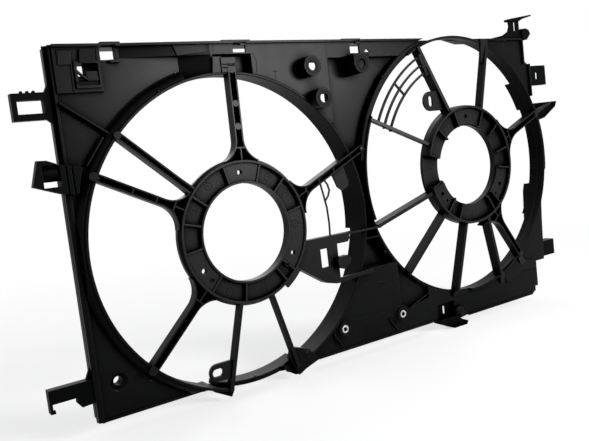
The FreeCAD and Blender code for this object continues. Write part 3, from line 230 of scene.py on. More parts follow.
@dataclass(frozen=True)
class MouldedPlastic:
    """Black filled plastic as it leaves the mould: fine spark grain, cloudy gloss, edges made paler by a
    painted highlight.

    Corners and recesses get painted shade from ambient occlusion, as a darker colour and a lower specular
    level. Colours are linear, and a pair is the low and high end of a range.
    """

    name: str
    colour: Triple
    roughness: float = 0.30
    specular: float = 0.040
    cloud_mm: float = 70.0
    cloud_stretch: Pair = (0.32, 0.70)
    cloud_shade: Pair = (0.72, 1.42)
    cloud_gloss: Pair = (-0.02, 0.03)
    streak_cells: Triple = (60.0, 60.0, 9.0)
    streak_gloss: float = 0.015
    # Streaks make the painted edge highlight patchy.
    streak_highlight: Pair = (0.25, 1.0)
    highlight_stretch: Pair = (0.35, 0.65)
    gloss_stretch: Pair = (0.3, 0.7)
    grain_mm: float = 0.9
    grain_height_mm: float = 0.05
    grain_strength: float = 0.35
    # Edge rounding, and the painted highlight that makes the edges paler.
    edge_mm: float = 0.7
    edge_highlight_share: float = 0.85
    edge_stretch: Pair = (0.80, 0.985)
    # Painted shade in corners and recesses: occlusion reach, darkest share left, and the occlusion range it
    # spans.
    recess_shade_mm: float = 14.0
    recess_shade_share: float = 0.22
    recess_shade_stretch: Pair = (0.58, 0.95)
    # Pale colour of the painted edge highlight.
    edge_highlight_colour: Triple = (0.022, 0.023, 0.025)

    def material(self) -> bpy.types.Material:
        """Builds the material.

        Returns:
            A material with its nodes.
        """
        material = bpy.data.materials.new(self.name)
        nodes = Nodes(material)
        place = nodes.add("ShaderNodeTexCoord").outputs["Object"]
        cloud = nodes.noise(place, 1 / (self.cloud_mm * MM), 4.0)
        mapping = nodes.add("ShaderNodeMapping")
        mapping.inputs["Scale"].default_value = self.streak_cells
        nodes.link(place, mapping.inputs["Vector"])
        streak = nodes.noise(mapping.outputs[0], 1.0, 5.0)
        # Painted shade: ambient occlusion darkens the colour and the gloss in corners and recesses.
        painted_shade_factor = self.painted_shade(nodes)

        shader = nodes.add("ShaderNodeBsdfPrincipled")
        nodes.link(self.paint(nodes, cloud, streak, painted_shade_factor), shader.inputs["Base Color"])
        # Painted shade also lowers the specular level in corners and recesses.
        nodes.link(nodes.scaled(painted_shade_factor, (0.0, self.specular)), shader.inputs["Specular IOR Level"])
        nodes.link(self.gloss(nodes, cloud, streak), shader.inputs["Roughness"])
        nodes.link(self.relief(nodes, place), shader.inputs["Normal"])
        nodes.surface(shader.outputs[0])
        return material

    def painted_shade(self, nodes: Nodes) -> Socket:
        """Painted shade factor from ambient occlusion: 1 on open faces, falling to the recess shade share in
        corners and recesses.

        Args:
            nodes: The tree that the value is built in.

        Returns:
            Socket with the value.
        """
        recess = nodes.add("ShaderNodeAmbientOcclusion", samples=8)
        recess.inputs["Distance"].default_value = self.recess_shade_mm * MM
        return nodes.scaled(recess.outputs["AO"], (self.recess_shade_share, 1.0), self.recess_shade_stretch)

    def paint(self, nodes: Nodes, cloud: Socket, streak: Socket, painted_shade_factor: Socket) -> Socket:
        """Cloudy black with a painted highlight on the edges, darkened by painted shade in the recesses.

        Args:
            nodes: The tree that the colour is built in.
            cloud: Socket with the wide noise.
            streak: Socket with the drawn-out noise.
            painted_shade_factor: Socket with the painted shade factor.

        Returns:
            Socket with the colour.
        """
        dark, pale = ([channel * share for channel in self.colour] for share in self.cloud_shade)
        # Painted highlight: sharp edges, patchy along the streaks, take the pale highlight colour.
        highlit_edges = nodes.maths("MULTIPLY", self.edge_highlight_mask(nodes),
                           nodes.scaled(streak, self.streak_highlight, self.highlight_stretch))
        colour = nodes.add("ShaderNodeMix", data_type="RGBA")
        nodes.link(highlit_edges, colour.inputs["Factor"])
        nodes.link(nodes.ramp(cloud, self.cloud_stretch, dark, pale), colour.inputs["A"])
        colour.inputs["B"].default_value = (*self.edge_highlight_colour, 1)
        # Painted shade: the colour is scaled down by the painted shade factor.
        painted_shade_colour = nodes.add("ShaderNodeVectorMath", operation="SCALE")
        nodes.link(colour.outputs["Result"], painted_shade_colour.inputs[0])
        nodes.link(painted_shade_factor, painted_shade_colour.inputs["Scale"])
        return painted_shade_colour.outputs[0]

    def gloss(self, nodes: Nodes, cloud: Socket, streak: Socket) -> Socket:
        """Roughness that changes a little in clouds and streaks.

        Args:
            nodes: The tree that the roughness is built in.
            cloud: Socket with the wide noise.
            streak: Socket with the drawn-out noise.

        Returns:
            Socket with the roughness.
        """
        smooth, dull = (self.roughness + change for change in self.cloud_gloss)
        return nodes.maths("ADD", nodes.scaled(cloud, (smooth, dull), self.gloss_stretch),
                           nodes.scaled(streak, (-self.streak_gloss, self.streak_gloss), self.gloss_stretch))

    def relief(self, nodes: Nodes, place: Socket) -> Socket:
        """Spark grain over softly rounded edges.

        Args:
            nodes: The tree that the relief is built in.
            place: Socket with the place on the piece.

        Returns:
            Socket with the direction of the surface.
        """
        grain = nodes.noise(place, 1 / (self.grain_mm * MM), 2.0)
        bump = nodes.bump(grain, self.grain_strength, self.grain_height_mm)
        nodes.link(nodes.rounded(self.edge_mm), bump.inputs["Normal"])
        return bump.outputs[0]

    def edge_highlight_mask(self, nodes: Nodes) -> Socket:
        """Value that rises to the edge highlight share along sharp edges, where the painted highlight goes.

        Args:
            nodes: The tree that the mask is built in.

        Returns:
            Socket with the mask.
        """
        turn = nodes.add("ShaderNodeVectorMath", operation="DOT_PRODUCT")
        nodes.link(nodes.rounded(self.edge_mm), turn.inputs[0])
        nodes.link(nodes.add("ShaderNodeNewGeometry").outputs["Normal"], turn.inputs[1])
        return nodes.scaled(turn.outputs["Value"], (self.edge_highlight_share, 0.0), self.edge_stretch)


@dataclass(frozen=True)
class PlatedMetal:
    """Zinc-plated turned metal of the two inserts, stained in clouds. The colour is linear."""

    name: str
    colour: Triple = (0.50, 0.49, 0.46)
    stain_share: float = 0.7
    stain_stretch: Pair = (0.3, 0.7)
    stain_cells: float = 400.0
    stain_gloss: Pair = (-0.08, 0.12)
    roughness: float = 0.34
    scratch_cells: float = 3000.0
    scratch_height_mm: float = 0.02
    scratch_strength: float = 0.2

    def material(self) -> bpy.types.Material:
        """Builds the material.

        Returns:
            A material with its nodes.
        """
        material = bpy.data.materials.new(self.name)
        nodes = Nodes(material)
        place = nodes.add("ShaderNodeTexCoord").outputs["Object"]
        stain = nodes.noise(place, self.stain_cells, 3.0)
        scratch = nodes.noise(place, self.scratch_cells, 2.0)
        stained = [channel * self.stain_share for channel in self.colour]
        smooth, dull = (self.roughness + change for change in self.stain_gloss)

        shader = nodes.add("ShaderNodeBsdfPrincipled", Metallic=1.0)
        nodes.link(nodes.ramp(stain, self.stain_stretch, stained, self.colour), shader.inputs["Base Color"])
        nodes.link(nodes.scaled(stain, (smooth, dull)), shader.inputs["Roughness"])
        bump = nodes.bump(scratch, self.scratch_strength, self.scratch_height_mm)
        nodes.link(bump.outputs[0], shader.inputs["Normal"])
        nodes.surface(shader.outputs[0])
        return material


class Finishes:
    """One material for each slot of the record, given to the solids and kept for the pieces."""

    def __init__(self) -> None:
        """Builds every material."""
        # The five plastic finishes are lit and shaded copies of one black plastic: ring and spoke copies are
        # painted lighter and glossier, barrel and bracket copies darker and duller, as painted light and
        # shade.
        panel = MouldedPlastic("panel_moulded", (0.0014, 0.0015, 0.0016))
        barrel = MouldedPlastic("barrel_moulded", (0.0012, 0.0013, 0.0014), roughness=0.33, specular=0.030,
                                recess_shade_mm=9.0)
        ring = MouldedPlastic("ring_moulded", (0.0034, 0.0035, 0.0036), roughness=0.32, specular=0.080,
                              recess_shade_mm=26.0, recess_shade_share=0.08)
        spoke = MouldedPlastic("spoke_moulded", (0.0026, 0.0027, 0.0028), roughness=0.32, specular=0.056,
                               recess_shade_mm=10.0, recess_shade_share=0.12)
        bracket = MouldedPlastic("bracket_moulded", (0.0008, 0.0009, 0.0010), roughness=0.34, specular=0.018)
        insert = PlatedMetal("insert_plated")
        chosen = {Slot.PANEL: panel, Slot.BARREL: barrel, Slot.RING: ring, Slot.SPOKE: spoke,
                  Slot.BRACKET: bracket, Slot.INSERT: insert}
        self.by_slot = {slot: finish.material() for slot, finish in chosen.items()}

    def dress_solids(self) -> int:
        """Gives each carried solid the material of its slot.

        Returns:
            The number of solids dressed.
        """
        slots = {entry["node"]: Slot(entry["material_slot"]) for entry in frame["record"]["subparts"]}
        for name, solid in frame["nodes"].items():
            solid.data.materials.clear()
            solid.data.materials.append(self.by_slot[slots[name]])
        return len(slots)


@dataclass(frozen=True)
class Fans:
    """Places and radii that both fans' pieces share, in the part's frame and in millimetres."""

    left: Pair = (0.0, 0.0)
    right: Pair = (341.0, 34.0)
    bore_r: float = 165.0
    barrel_r: float = 168.0
    ring_r: float = 77.6
    motor_r: float = 51.4
    eyelets: tuple[Pair, ...] = ((-47.0, -42.0), (44.5, -42.6))

    def at(self, fan: Pair, radius: float, degrees: float) -> Pair:
        """Point on a circle about a fan, counted from +X towards +Z."""
        turn = math.radians(degrees)
        return (fan[0] + radius * math.cos(turn), fan[1] + radius * math.sin(turn))


FANS = Fans()


@dataclass(frozen=True)
class Plate:
    """Form with a flat back and a front that may slope, in millimetres.

    The outline holds (x, z) corners. The front has a depth for each corner, or a single one for all.
    """

    outline: tuple[Pair, ...]
    front_y: tuple[float, ...]
    back_y: float

    def moved(self, place: Pair) -> "Plate":
        """The same plate with its corners counted from a place."""
        return Plate(tuple((place[0] + x, place[1] + z) for x, z in self.outline), self.front_y, self.back_y)


@dataclass(frozen=True)
class Rib:
    """Rib with a bevelled front that runs through (x, y, z) points, in millimetres.

    Its depth reaches back along +Y, and the taper is its width at the last point as a share of the first.
    """

    points: tuple[Triple, ...]
    width: float
    depth: float
    taper: float = 1.0
    flat_share: float = 0.72
    bevel_share: float = 0.22


@dataclass(frozen=True)
class Stud:
    """Round stud with a rounded front edge, in millimetres.

    It is sunk into its face by one depth and stands proud of it by another.
    """

    radius: float
    sunk: float
    proud: float
    rounding: float = 0.6
    sides: int = 20


@dataclass(frozen=True)
class Collar:
    """Ring with softened front edges, in millimetres, sunk into its face and proud of it like a stud."""

    inner: float
    outer: float
    sunk: float
    proud: float
    sides: int = 28


@dataclass(frozen=True)
class Hoop:
    """Stretch of a ring with a square section, in millimetres and in degrees from +X towards +Z."""

    inner: float
    outer: float
    front_y: float
    back_y: float
    start: float
    end: float
    sides: int


class Moulding:
    """One small moulded piece, built up from lathed and swept forms. Every size is in millimetres."""

    def __init__(self, name: str, slot: Slot) -> None:
        """Starts an empty piece.

        Args:
            name: Name of the piece.
            slot: Slot that its finish comes from.
        """
        self.name = name
        self.slot = slot
        self.mesh = bmesh.new()

    def skin(self, rows: list[list[bmesh.types.BMVert]], closed: bool) -> None:
        """Joins rows of corners into a tube.

        Args:
            rows: One row of corners for each section.
            closed: Whether the last section meets the first; otherwise both ends are capped.
        """
        count = len(rows[0])
        for here, there in zip(rows, rows[1:] + rows[:1] if closed else rows[1:]):
            for corner in range(count):
                after = (corner + 1) % count
                self.mesh.faces.new((here[corner], here[after], there[after], there[corner]))
        if not closed:
            self.mesh.faces.new(rows[0])
            self.mesh.faces.new(list(reversed(rows[-1])))

    def lathe(self, centre: Pair, profile: Sequence[Pair], sides: int, start: float = 0.0,
              end: float = 360.0) -> None:
        """Turns a closed profile about an axis along Y.

        Args:
            centre: (x, z) of the axis.
            profile: (radius, y) corners, all the way round the section.
            sides: Number of steps over the stretch.
            start: First angle in degrees, from +X towards +Z.
            end: Last angle in degrees.
        """
        full = end - start >= 360.0
        rows = []
        for step in range(sides if full else sides + 1):
            turn = math.radians(start + (end - start) * step / sides)
            across, up = math.cos(turn), math.sin(turn)
            rows.append([self.mesh.verts.new((centre[0] + radius * across, y, centre[1] + radius * up))
                         for radius, y in profile])
        self.skin(rows, full)

    def hoop(self, centre: Pair, hoop: Hoop) -> None:
        """Adds a stretch of a ring.

        Args:
            centre: (x, z) of its axis.
            hoop: Its sizes.
        """
        section = [(hoop.inner, hoop.front_y), (hoop.outer, hoop.front_y), (hoop.outer, hoop.back_y),
                   (hoop.inner, hoop.back_y)]
        self.lathe(centre, section, hoop.sides, hoop.start, hoop.end)

    def stud(self, centre: Pair, face_y: float, stud: Stud) -> None:
        """Adds a stud on a face.

        Args:
            centre: (x, z) of its axis.
            face_y: Depth of the face.
            stud: Its sizes.
        """
        soft = SOFT_SHARE * stud.rounding
        base_y, top_y, radius = face_y + stud.sunk, face_y - stud.proud, stud.radius
        self.lathe(centre, [(AXIS_R, base_y), (radius, base_y), (radius, top_y + stud.rounding),
                            (radius - soft, top_y + soft), (radius - stud.rounding, top_y),
                            (AXIS_R, top_y)], stud.sides)

    def collar(self, centre: Pair, face_y: float, collar: Collar) -> None:
        """Adds a collar on a face.

        Args:
            centre: (x, z) of its axis.
            face_y: Depth of the face.
            collar: Its sizes.
        """
        base_y, top_y, inner, outer = face_y + collar.sunk, face_y - collar.proud, collar.inner, collar.outer
        soft = SOFT_SHARE * min(outer - inner, base_y - top_y)
        self.lathe(centre, [(inner, base_y), (outer, base_y), (outer, top_y + soft), (outer - soft, top_y),
                            (inner + soft, top_y), (inner, top_y + soft)], collar.sides)

    def bar(self, rib: Rib) -> None:
        """Adds a rib.

        Args:
            rib: The rib's points and sizes.
        """
        flat, soft = rib.flat_share, rib.bevel_share * rib.width
        section = ((1.0, rib.depth), (1.0, soft), (flat, 0.0), (-flat, 0.0), (-1.0, soft), (-1.0, rib.depth))
        rows = []
        last = len(rib.points) - 1
        for index, point in enumerate(rib.points):
            before, after = rib.points[max(index - 1, 0)], rib.points[min(index + 1, last)]
            run = Vector((after[0] - before[0], 0.0, after[2] - before[2])).normalized()
            side = Vector((-run.z, 0.0, run.x)) * rib.width / 2 * (1 + (rib.taper - 1) * index / last)
            rows.append([self.mesh.verts.new(Vector(point) + side * across + Vector((0.0, back, 0.0)))
                         for across, back in section])
        self.skin(rows, False)

    def slab(self, plate: Plate) -> None:
        """Adds a plate.

        Args:
            plate: The plate's corners and depths.
        """
        count = len(plate.outline)
        depths = plate.front_y * count if len(plate.front_y) == 1 else plate.front_y
        front = [self.mesh.verts.new((x, y, z)) for (x, z), y in zip(plate.outline, depths)]
        back = [self.mesh.verts.new((x, plate.back_y, z)) for x, z in plate.outline]
        self.mesh.faces.new(front)
        self.mesh.faces.new(list(reversed(back)))
        for index in range(count):
            after = (index + 1) % count
            self.mesh.faces.new((front[index], back[index], back[after], front[after]))

    def finish(self, finishes: Finishes, smooth_deg: float = 32.0) -> None:
        """Closes the piece, dresses it and lets it ride the part.

        Args:
            finishes: Materials by slot.
            smooth_deg: Edges flatter than this are shaded smooth.
        """
        bmesh.ops.recalc_face_normals(self.mesh, faces=self.mesh.faces)
        bmesh.ops.scale(self.mesh, vec=Vector((MM, MM, MM)), verts=self.mesh.verts)
        data = bpy.data.meshes.new(self.name)
        self.mesh.to_mesh(data)
        self.mesh.free()
        data.materials.append(finishes.by_slot[self.slot])
        data.set_sharp_from_angle(angle=math.radians(smooth_deg))
        for face in data.polygons:
            face.use_smooth = True
        piece = bpy.data.objects.new(self.name, data)
        bpy.context.scene.collection.objects.link(piece)
        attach(piece, ROOT)
        log.info("%s: %d faces", self.name, len(data.polygons))


@dataclass(frozen=True)
class RimStuds:
    """Small studs on the barrels' rims, where fans are balanced and ducts are clipped.

    Each stud is an (x, z) place and the depth of the rim there.
    """

    left: tuple[tuple[Pair, float], ...] = (((-74.3, 151.4), 1.4), ((-170.3, -10.6), 5.0),
                                            ((134.8, 102.5), 0.3))
    right: tuple[tuple[Pair, float], ...] = (((217.4, 154.2), 1.2), ((192.6, -56.0), 2.0))
    stud: Stud = Stud(2.1, 0.8, 1.7)
    barb: Plate = Plate(((-3.0, -2.6), (3.6, -0.6), (3.6, 0.8), (-3.0, 2.8)), (1.0, 2.0, 2.0, 1.0), 5.5)
    barb_out: float = 1.6
    barb_deg: float = -8.4

    def build(self, finishes: Finishes) -> None:
        """Makes the studs of both barrels and the little side barb of the right one.

        Args:
            finishes: Materials by slot.
        """
        for name, places in (("rim_studs_left", self.left), ("rim_studs_right", self.right)):
            studs = Moulding(name, Slot.BARREL)
            for place, rim_y in places:
                studs.stud(place, rim_y, self.stud)
            studs.finish(finishes)
        barb = Moulding("side_barb", Slot.BARREL)
        barb.slab(self.barb.moved(FANS.at(FANS.right, FANS.barrel_r + self.barb_out, self.barb_deg)))
        barb.finish(finishes)


@dataclass(frozen=True)
class RingDetails:
    """Ejector marks, eyelets and fine beads on the two motor rings."""

    mark: Collar = Collar(3.7, 4.4, 0.2, 0.22)
    dot: Collar = Collar(0.9, 1.5, 0.2, 0.132, 16)
    eyelet: Collar = Collar(1.7, 2.6, 0.3, 0.7, 20)
    left_pad_y: float = -7.9
    left_pad_mark: Pair = (60.8, -0.9)
    left_floor_y: float = -4.9
    left_floor_marks: tuple[float, ...] = (151.0, 125.0, 57.0, 32.0, -115.0, -78.0)
    left_edge_y: float = -9.5
    left_edge_in: float = 2.4
    right_floor_y: float = -8.9
    right_floor_marks: tuple[float, ...] = (54.0, 27.0, 2.0, -88.0, 122.0)
    right_flat_y: float = -4.0
    right_flat_mark: Pair = (277.0, 40.0)
    right_edge_y: float = -16.0
    right_edge_in: float = 1.2
    right_edge_deg: Pair = (-162.5, 164.5)
    bead_in: float = 2.9
    bead_wide: float = 1.2
    bead_deep: float = 1.8
    bead_low: float = 0.1
    bead_sides: int = 72

    def build(self, finishes: Finishes) -> None:
        """Makes the details of both rings.

        Args:
            finishes: Materials by slot.
        """
        middle = (FANS.motor_r + FANS.ring_r) / 2
        left = Moulding("ring_marks_left", Slot.RING)
        for angle in self.left_floor_marks:
            self.ejector_mark(left, FANS.at(FANS.left, middle, angle), self.left_floor_y)
        self.ejector_mark(left, self.left_pad_mark, self.left_pad_y)
        for place in FANS.eyelets:
            left.collar(place, self.left_pad_y, self.eyelet)
        self.bead(left, FANS.left, FANS.ring_r - self.left_edge_in, self.left_edge_y, (-180.0, 180.0))
        left.finish(finishes)

        right = Moulding("ring_marks_right", Slot.RING)
        for angle in self.right_floor_marks:
            self.ejector_mark(right, FANS.at(FANS.right, middle, angle), self.right_floor_y)
        self.ejector_mark(right, self.right_flat_mark, self.right_flat_y)
        self.bead(right, FANS.right, FANS.ring_r - self.right_edge_in, self.right_edge_y, self.right_edge_deg)
        right.finish(finishes)

    def ejector_mark(self, piece: Moulding, place: Pair, face_y: float) -> None:
        """Adds the faint circle and dot that an ejector pin leaves."""
        piece.collar(place, face_y, self.mark)
        piece.collar(place, face_y, self.dot)

    def bead(self, piece: Moulding, fan: Pair, edge_r: float, edge_y: float, stretch: Pair) -> None:
        """Adds a fine bead along the inside of a ring's front edge.

        Args:
            piece: The piece that the bead belongs to.
            fan: (x, z) of the ring's axis.
            edge_r: Outside radius of the ring's front edge.
            edge_y: Depth of that edge.
            stretch: First and last angle in degrees.
        """
        inner = edge_r - self.bead_in
        outer, middle = inner + self.bead_wide, inner + self.bead_wide / 2
        front, back = edge_y + self.bead_low, edge_y + self.bead_deep
        piece.lathe(fan, [(inner, back), (outer, back), (outer, front), (middle, front),
                          (inner, edge_y + self.bead_deep / 2)], self.bead_sides, *stretch)


@dataclass(frozen=True)
class SpokeEnds:
    """Forms that carry the right fan's spokes over the barrel into the panel, and small end details."""

    post: Plate = Plate(((389.6, 166.0), (398.2, 165.0), (407.6, 197.4), (393.4, 197.4)),
                        (-3.5, -3.5, -3.0, -3.0), 0.4)
    rib_in: float = 4.0
    rib_deg: float = 20.6
    rib_y: float = -3.4
    rib_points: tuple[Triple, ...] = ((507.0, -1.6, 95.2), (528.0, 4.6, 100.6), (546.0, 7.6, 104.2))
    rib_width: float = 8.6
    rib_depth: float = 7.0
    rib_taper: float = 0.34
    right_tail: Plate = Plate(((431.5, -108.0), (438.5, -102.0), (456.0, -121.5), (447.5, -126.5)),
                              (-3.2, -3.2, 3.3, 3.3), 5.0)
    middle_tail: Plate = Plate(((391.0, -122.0), (398.6, -119.4), (407.4, -137.0), (398.2, -139.0)),
                               (-3.2, -3.2, 3.5, 3.5), 5.0)
    patch_between: Plate = Plate(((398.6, -119.4), (424.0, -107.0), (436.0, -114.0), (447.0, -127.0),
                                  (411.0, -139.5)), (0.2, 0.2, 0.6, 1.6, 2.4), 5.0)
    patch_outside: Plate = Plate(((447.0, -127.0), (436.0, -114.0), (449.0, -113.0), (473.0, -118.0),
                                  (476.0, -130.0)), (1.6, 0.6, 1.2, 2.4, 3.5), 5.0)
    left_tail: Plate = Plate(((303.0, -127.4), (310.4, -128.0), (310.0, -137.0), (301.5, -136.2)),
                             (-3.0, -3.0, 3.5, 3.5), 5.0)
    grip_radii: Triple = (132.0, 142.5, 153.0)
    grip_deg: Pair = (115.6, 112.9)
    grip_y: float = -5.6
    grip_width: float = 3.4
    grip_depth: float = 2.2
    left_ends: tuple[tuple[float, Stud], ...] = ((137.8, Stud(3.6, 1.2, 2.8, 0.8)),
                                                 (153.4, Stud(3.6, 1.2, 2.2, 0.8)))
    left_end_out: float = 1.6
    arm_end: Pair = (169.6, 71.3)
    arm_end_y: float = -3.0
    arm_end_stud: Stud = Stud(3.3, 1.0, 1.6, 0.7)

    def build(self, finishes: Finishes) -> None:
        """Makes the ends, one piece for each kind.

        Args:
            finishes: Materials by slot.
        """
        post = Moulding("spoke_post_upper_right", Slot.SPOKE)
        post.slab(self.post)
        post.finish(finishes)
        self.side_rib(finishes)
        tails = Moulding("spoke_tails_lower", Slot.PANEL)
        for plate in (self.right_tail, self.middle_tail, self.patch_between, self.patch_outside,
                      self.left_tail):
            tails.slab(plate)
        tails.finish(finishes)
        self.clamp_grip(finishes)
        self.round_ends(finishes)

    def side_rib(self, finishes: Finishes) -> None:
        """Makes the rib from the right spoke's end out to the tip of the side arm.

        Args:
            finishes: Materials by slot.
        """
        rib = Moulding("spoke_rib_right", Slot.SPOKE)
        x, z = FANS.at(FANS.right, FANS.bore_r - self.rib_in, self.rib_deg)
        rib.bar(Rib(((x, self.rib_y, z), *self.rib_points), self.rib_width, self.rib_depth, self.rib_taper))
        rib.finish(finishes)

    def clamp_grip(self, finishes: Finishes) -> None:
        """Makes the ribbed grip on the guard's clamp.

        Args:
            finishes: Materials by slot.
        """
        grip = Moulding("guard_clamp_grip", Slot.SPOKE)
        for radius in self.grip_radii:
            ends = (FANS.at(FANS.right, radius, angle) for angle in self.grip_deg)
            grip.bar(Rib(tuple((x, self.grip_y, z) for x, z in ends), self.grip_width, self.grip_depth))
        grip.finish(finishes)

    def round_ends(self, finishes: Finishes) -> None:
        """Makes the round ends of the left fan's spokes, at the barrel's rim and past it.

        Args:
            finishes: Materials by slot.
        """
        ends = Moulding("spoke_end_rounds", Slot.SPOKE)
        for angle, stud in self.left_ends:
            ends.stud(FANS.at(FANS.left, FANS.bore_r + self.left_end_out, angle), 0.0, stud)
        ends.stud(self.arm_end, self.arm_end_y, self.arm_end_stud)
        ends.finish(finishes)


@dataclass(frozen=True)
class Joins:
    """Short walls, webs and covers that close the corners between ramps, rims, rings and panels."""

    wall: float = 1.6
    step_deg: Pair = (164.9, 197.1)
    step_radii: Pair = (FANS.motor_r + 0.8, FANS.ring_r - 1.2)
    step_front_y: Pair = (-9.0, -15.8)
    step_back_y: float = -1.7
    floor_ends: tuple[Hoop, ...] = (Hoop(52.0, 76.0, -9.4, -3.7, 157.0, 165.4, 8),
                                    Hoop(52.0, 76.0, -9.4, -3.7, 196.6, 205.0, 8))
    skirt: tuple[Pair, ...] = ((74.2, -3.4), (77.1, -3.4), (76.7, 2.2), (74.2, 2.2))
    skirt_sides: int = 96
    # Plug of ring plastic that closes each eyelet's hole so it reads dark: painted shade.
    eyelet_shade_plug: Stud = Stud(2.4, 0.0, 1.9, 0.2)
    plug_y: float = -5.0
    back_rim: Hoop = Hoop(166.0, 169.8, 18.4, 22.8, 156.0, 223.0, 40)
    front_rim: Hoop = Hoop(165.0, 168.0, -2.0, 2.6, 109.5, 119.0, 12)
    lower_panel_end: Plate = Plate(((260.8, -127.5), (262.8, -127.5), (262.8, -114.0), (260.8, -114.0)),
                                   (4.1,), 12.0)
    toe_back: Plate = Plate(((33.0, -158.0), (36.0, -163.5), (47.0, -170.5), (53.0, -170.5), (50.0, -158.5),
                             (46.0, -155.0)), (4.4,), 8.4)
    toe_side: Plate = Plate(((30.5, -157.0), (44.9, -150.5), (52.6, -168.9), (41.7, -163.9)), (6.5,), 10.0)
    left_edge: Plate = Plate(((-176.3, -157.4), (-172.8, -157.4), (-172.8, 66.0), (-176.3, 66.0)),
                             (9.0, 8.1, 8.1, 9.0), 14.2)
    top_right_edge: Plate = Plate(((343.0, 199.8), (371.0, 197.2), (371.0, 199.4), (343.0, 201.2)),
                                  (19.6, 29.0, 29.0, 19.6), 17.0)
    ramp_cover: Plate = Plate(((-52.0, 197.0), (-6.5, 197.0), (-7.5, 189.6), (-48.0, 186.0)),
                              (3.4, 0.9, 0.9, 3.2), 8.0)
    block_side: Plate = Plate(((-11.4, 183.4), (-1.0, 183.2), (-2.8, 167.4), (-13.4, 166.6)), (-1.8,), 4.0)
    left_gusset: Plate = Plate(((103.6, -141.4), (116.8, -142.2), (106.4, -153.6)), (2.6, 2.6, 3.7), 4.2)
    right_gusset: Plate = Plate(((191.2, -140.4), (207.2, -142.0), (195.4, -155.2)), (2.6, 2.6, 3.7), 4.2)

    def build(self, finishes: Finishes) -> None:
        """Makes the joins of the rings, the barrels, the panels and the insert gussets.

        Args:
            finishes: Materials by slot.
        """
        self.ring_walls(finishes)
        rims = Moulding("barrel_rim_webs", Slot.BARREL)
        rims.hoop(FANS.right, self.back_rim)
        rims.hoop(FANS.right, self.front_rim)
        rims.finish(finishes)
        webs = Moulding("panel_webs", Slot.PANEL)
        for plate in (self.lower_panel_end, self.toe_back, self.toe_side, self.left_edge, self.top_right_edge,
                      self.ramp_cover, self.block_side):
            webs.slab(plate)
        webs.finish(finishes)
        gussets = Moulding("insert_gusset_webs", Slot.BRACKET)
        gussets.slab(self.left_gusset)
        gussets.slab(self.right_gusset)
        gussets.finish(finishes)

    def ring_walls(self, finishes: Finishes) -> None:
        """Makes the right ring's step walls and floor ends, the left ring's skirt and the plugs that close its
        eyelets as painted shade.

        Args:
            finishes: Materials by slot.
        """
        ring = Moulding("ring_step_walls", Slot.RING)
        for angle in self.step_deg:
            ring.slab(self.step_wall(angle))
        for floor_end in self.floor_ends:
            ring.hoop(FANS.right, floor_end)
        ring.lathe(FANS.left, self.skirt, self.skirt_sides)
        # Painted shade: each eyelet is closed by a plug so its hole reads dark.
        for place in FANS.eyelets:
            ring.stud(place, self.plug_y, self.eyelet_shade_plug)
        ring.finish(finishes)

    def step_wall(self, angle: float) -> Plate:
        """Thin wall along a radius of the right ring, its front running straight between two depths.

        Args:
            angle: Direction in degrees.

        Returns:
            The wall as a plate.
        """
        turn = math.radians(angle)
        across = (-math.sin(turn) * self.wall / 2, math.cos(turn) * self.wall / 2)
        inner, outer = self.step_radii
        corners = []
        for radius, side in ((inner, -1), (outer, -1), (outer, 1), (inner, 1)):
            x, z = FANS.at(FANS.right, radius, angle)
            corners.append((x + side * across[0], z + side * across[1]))
        start_y, end_y = self.step_front_y
        return Plate(tuple(corners), (start_y, end_y, end_y, start_y), self.step_back_y)


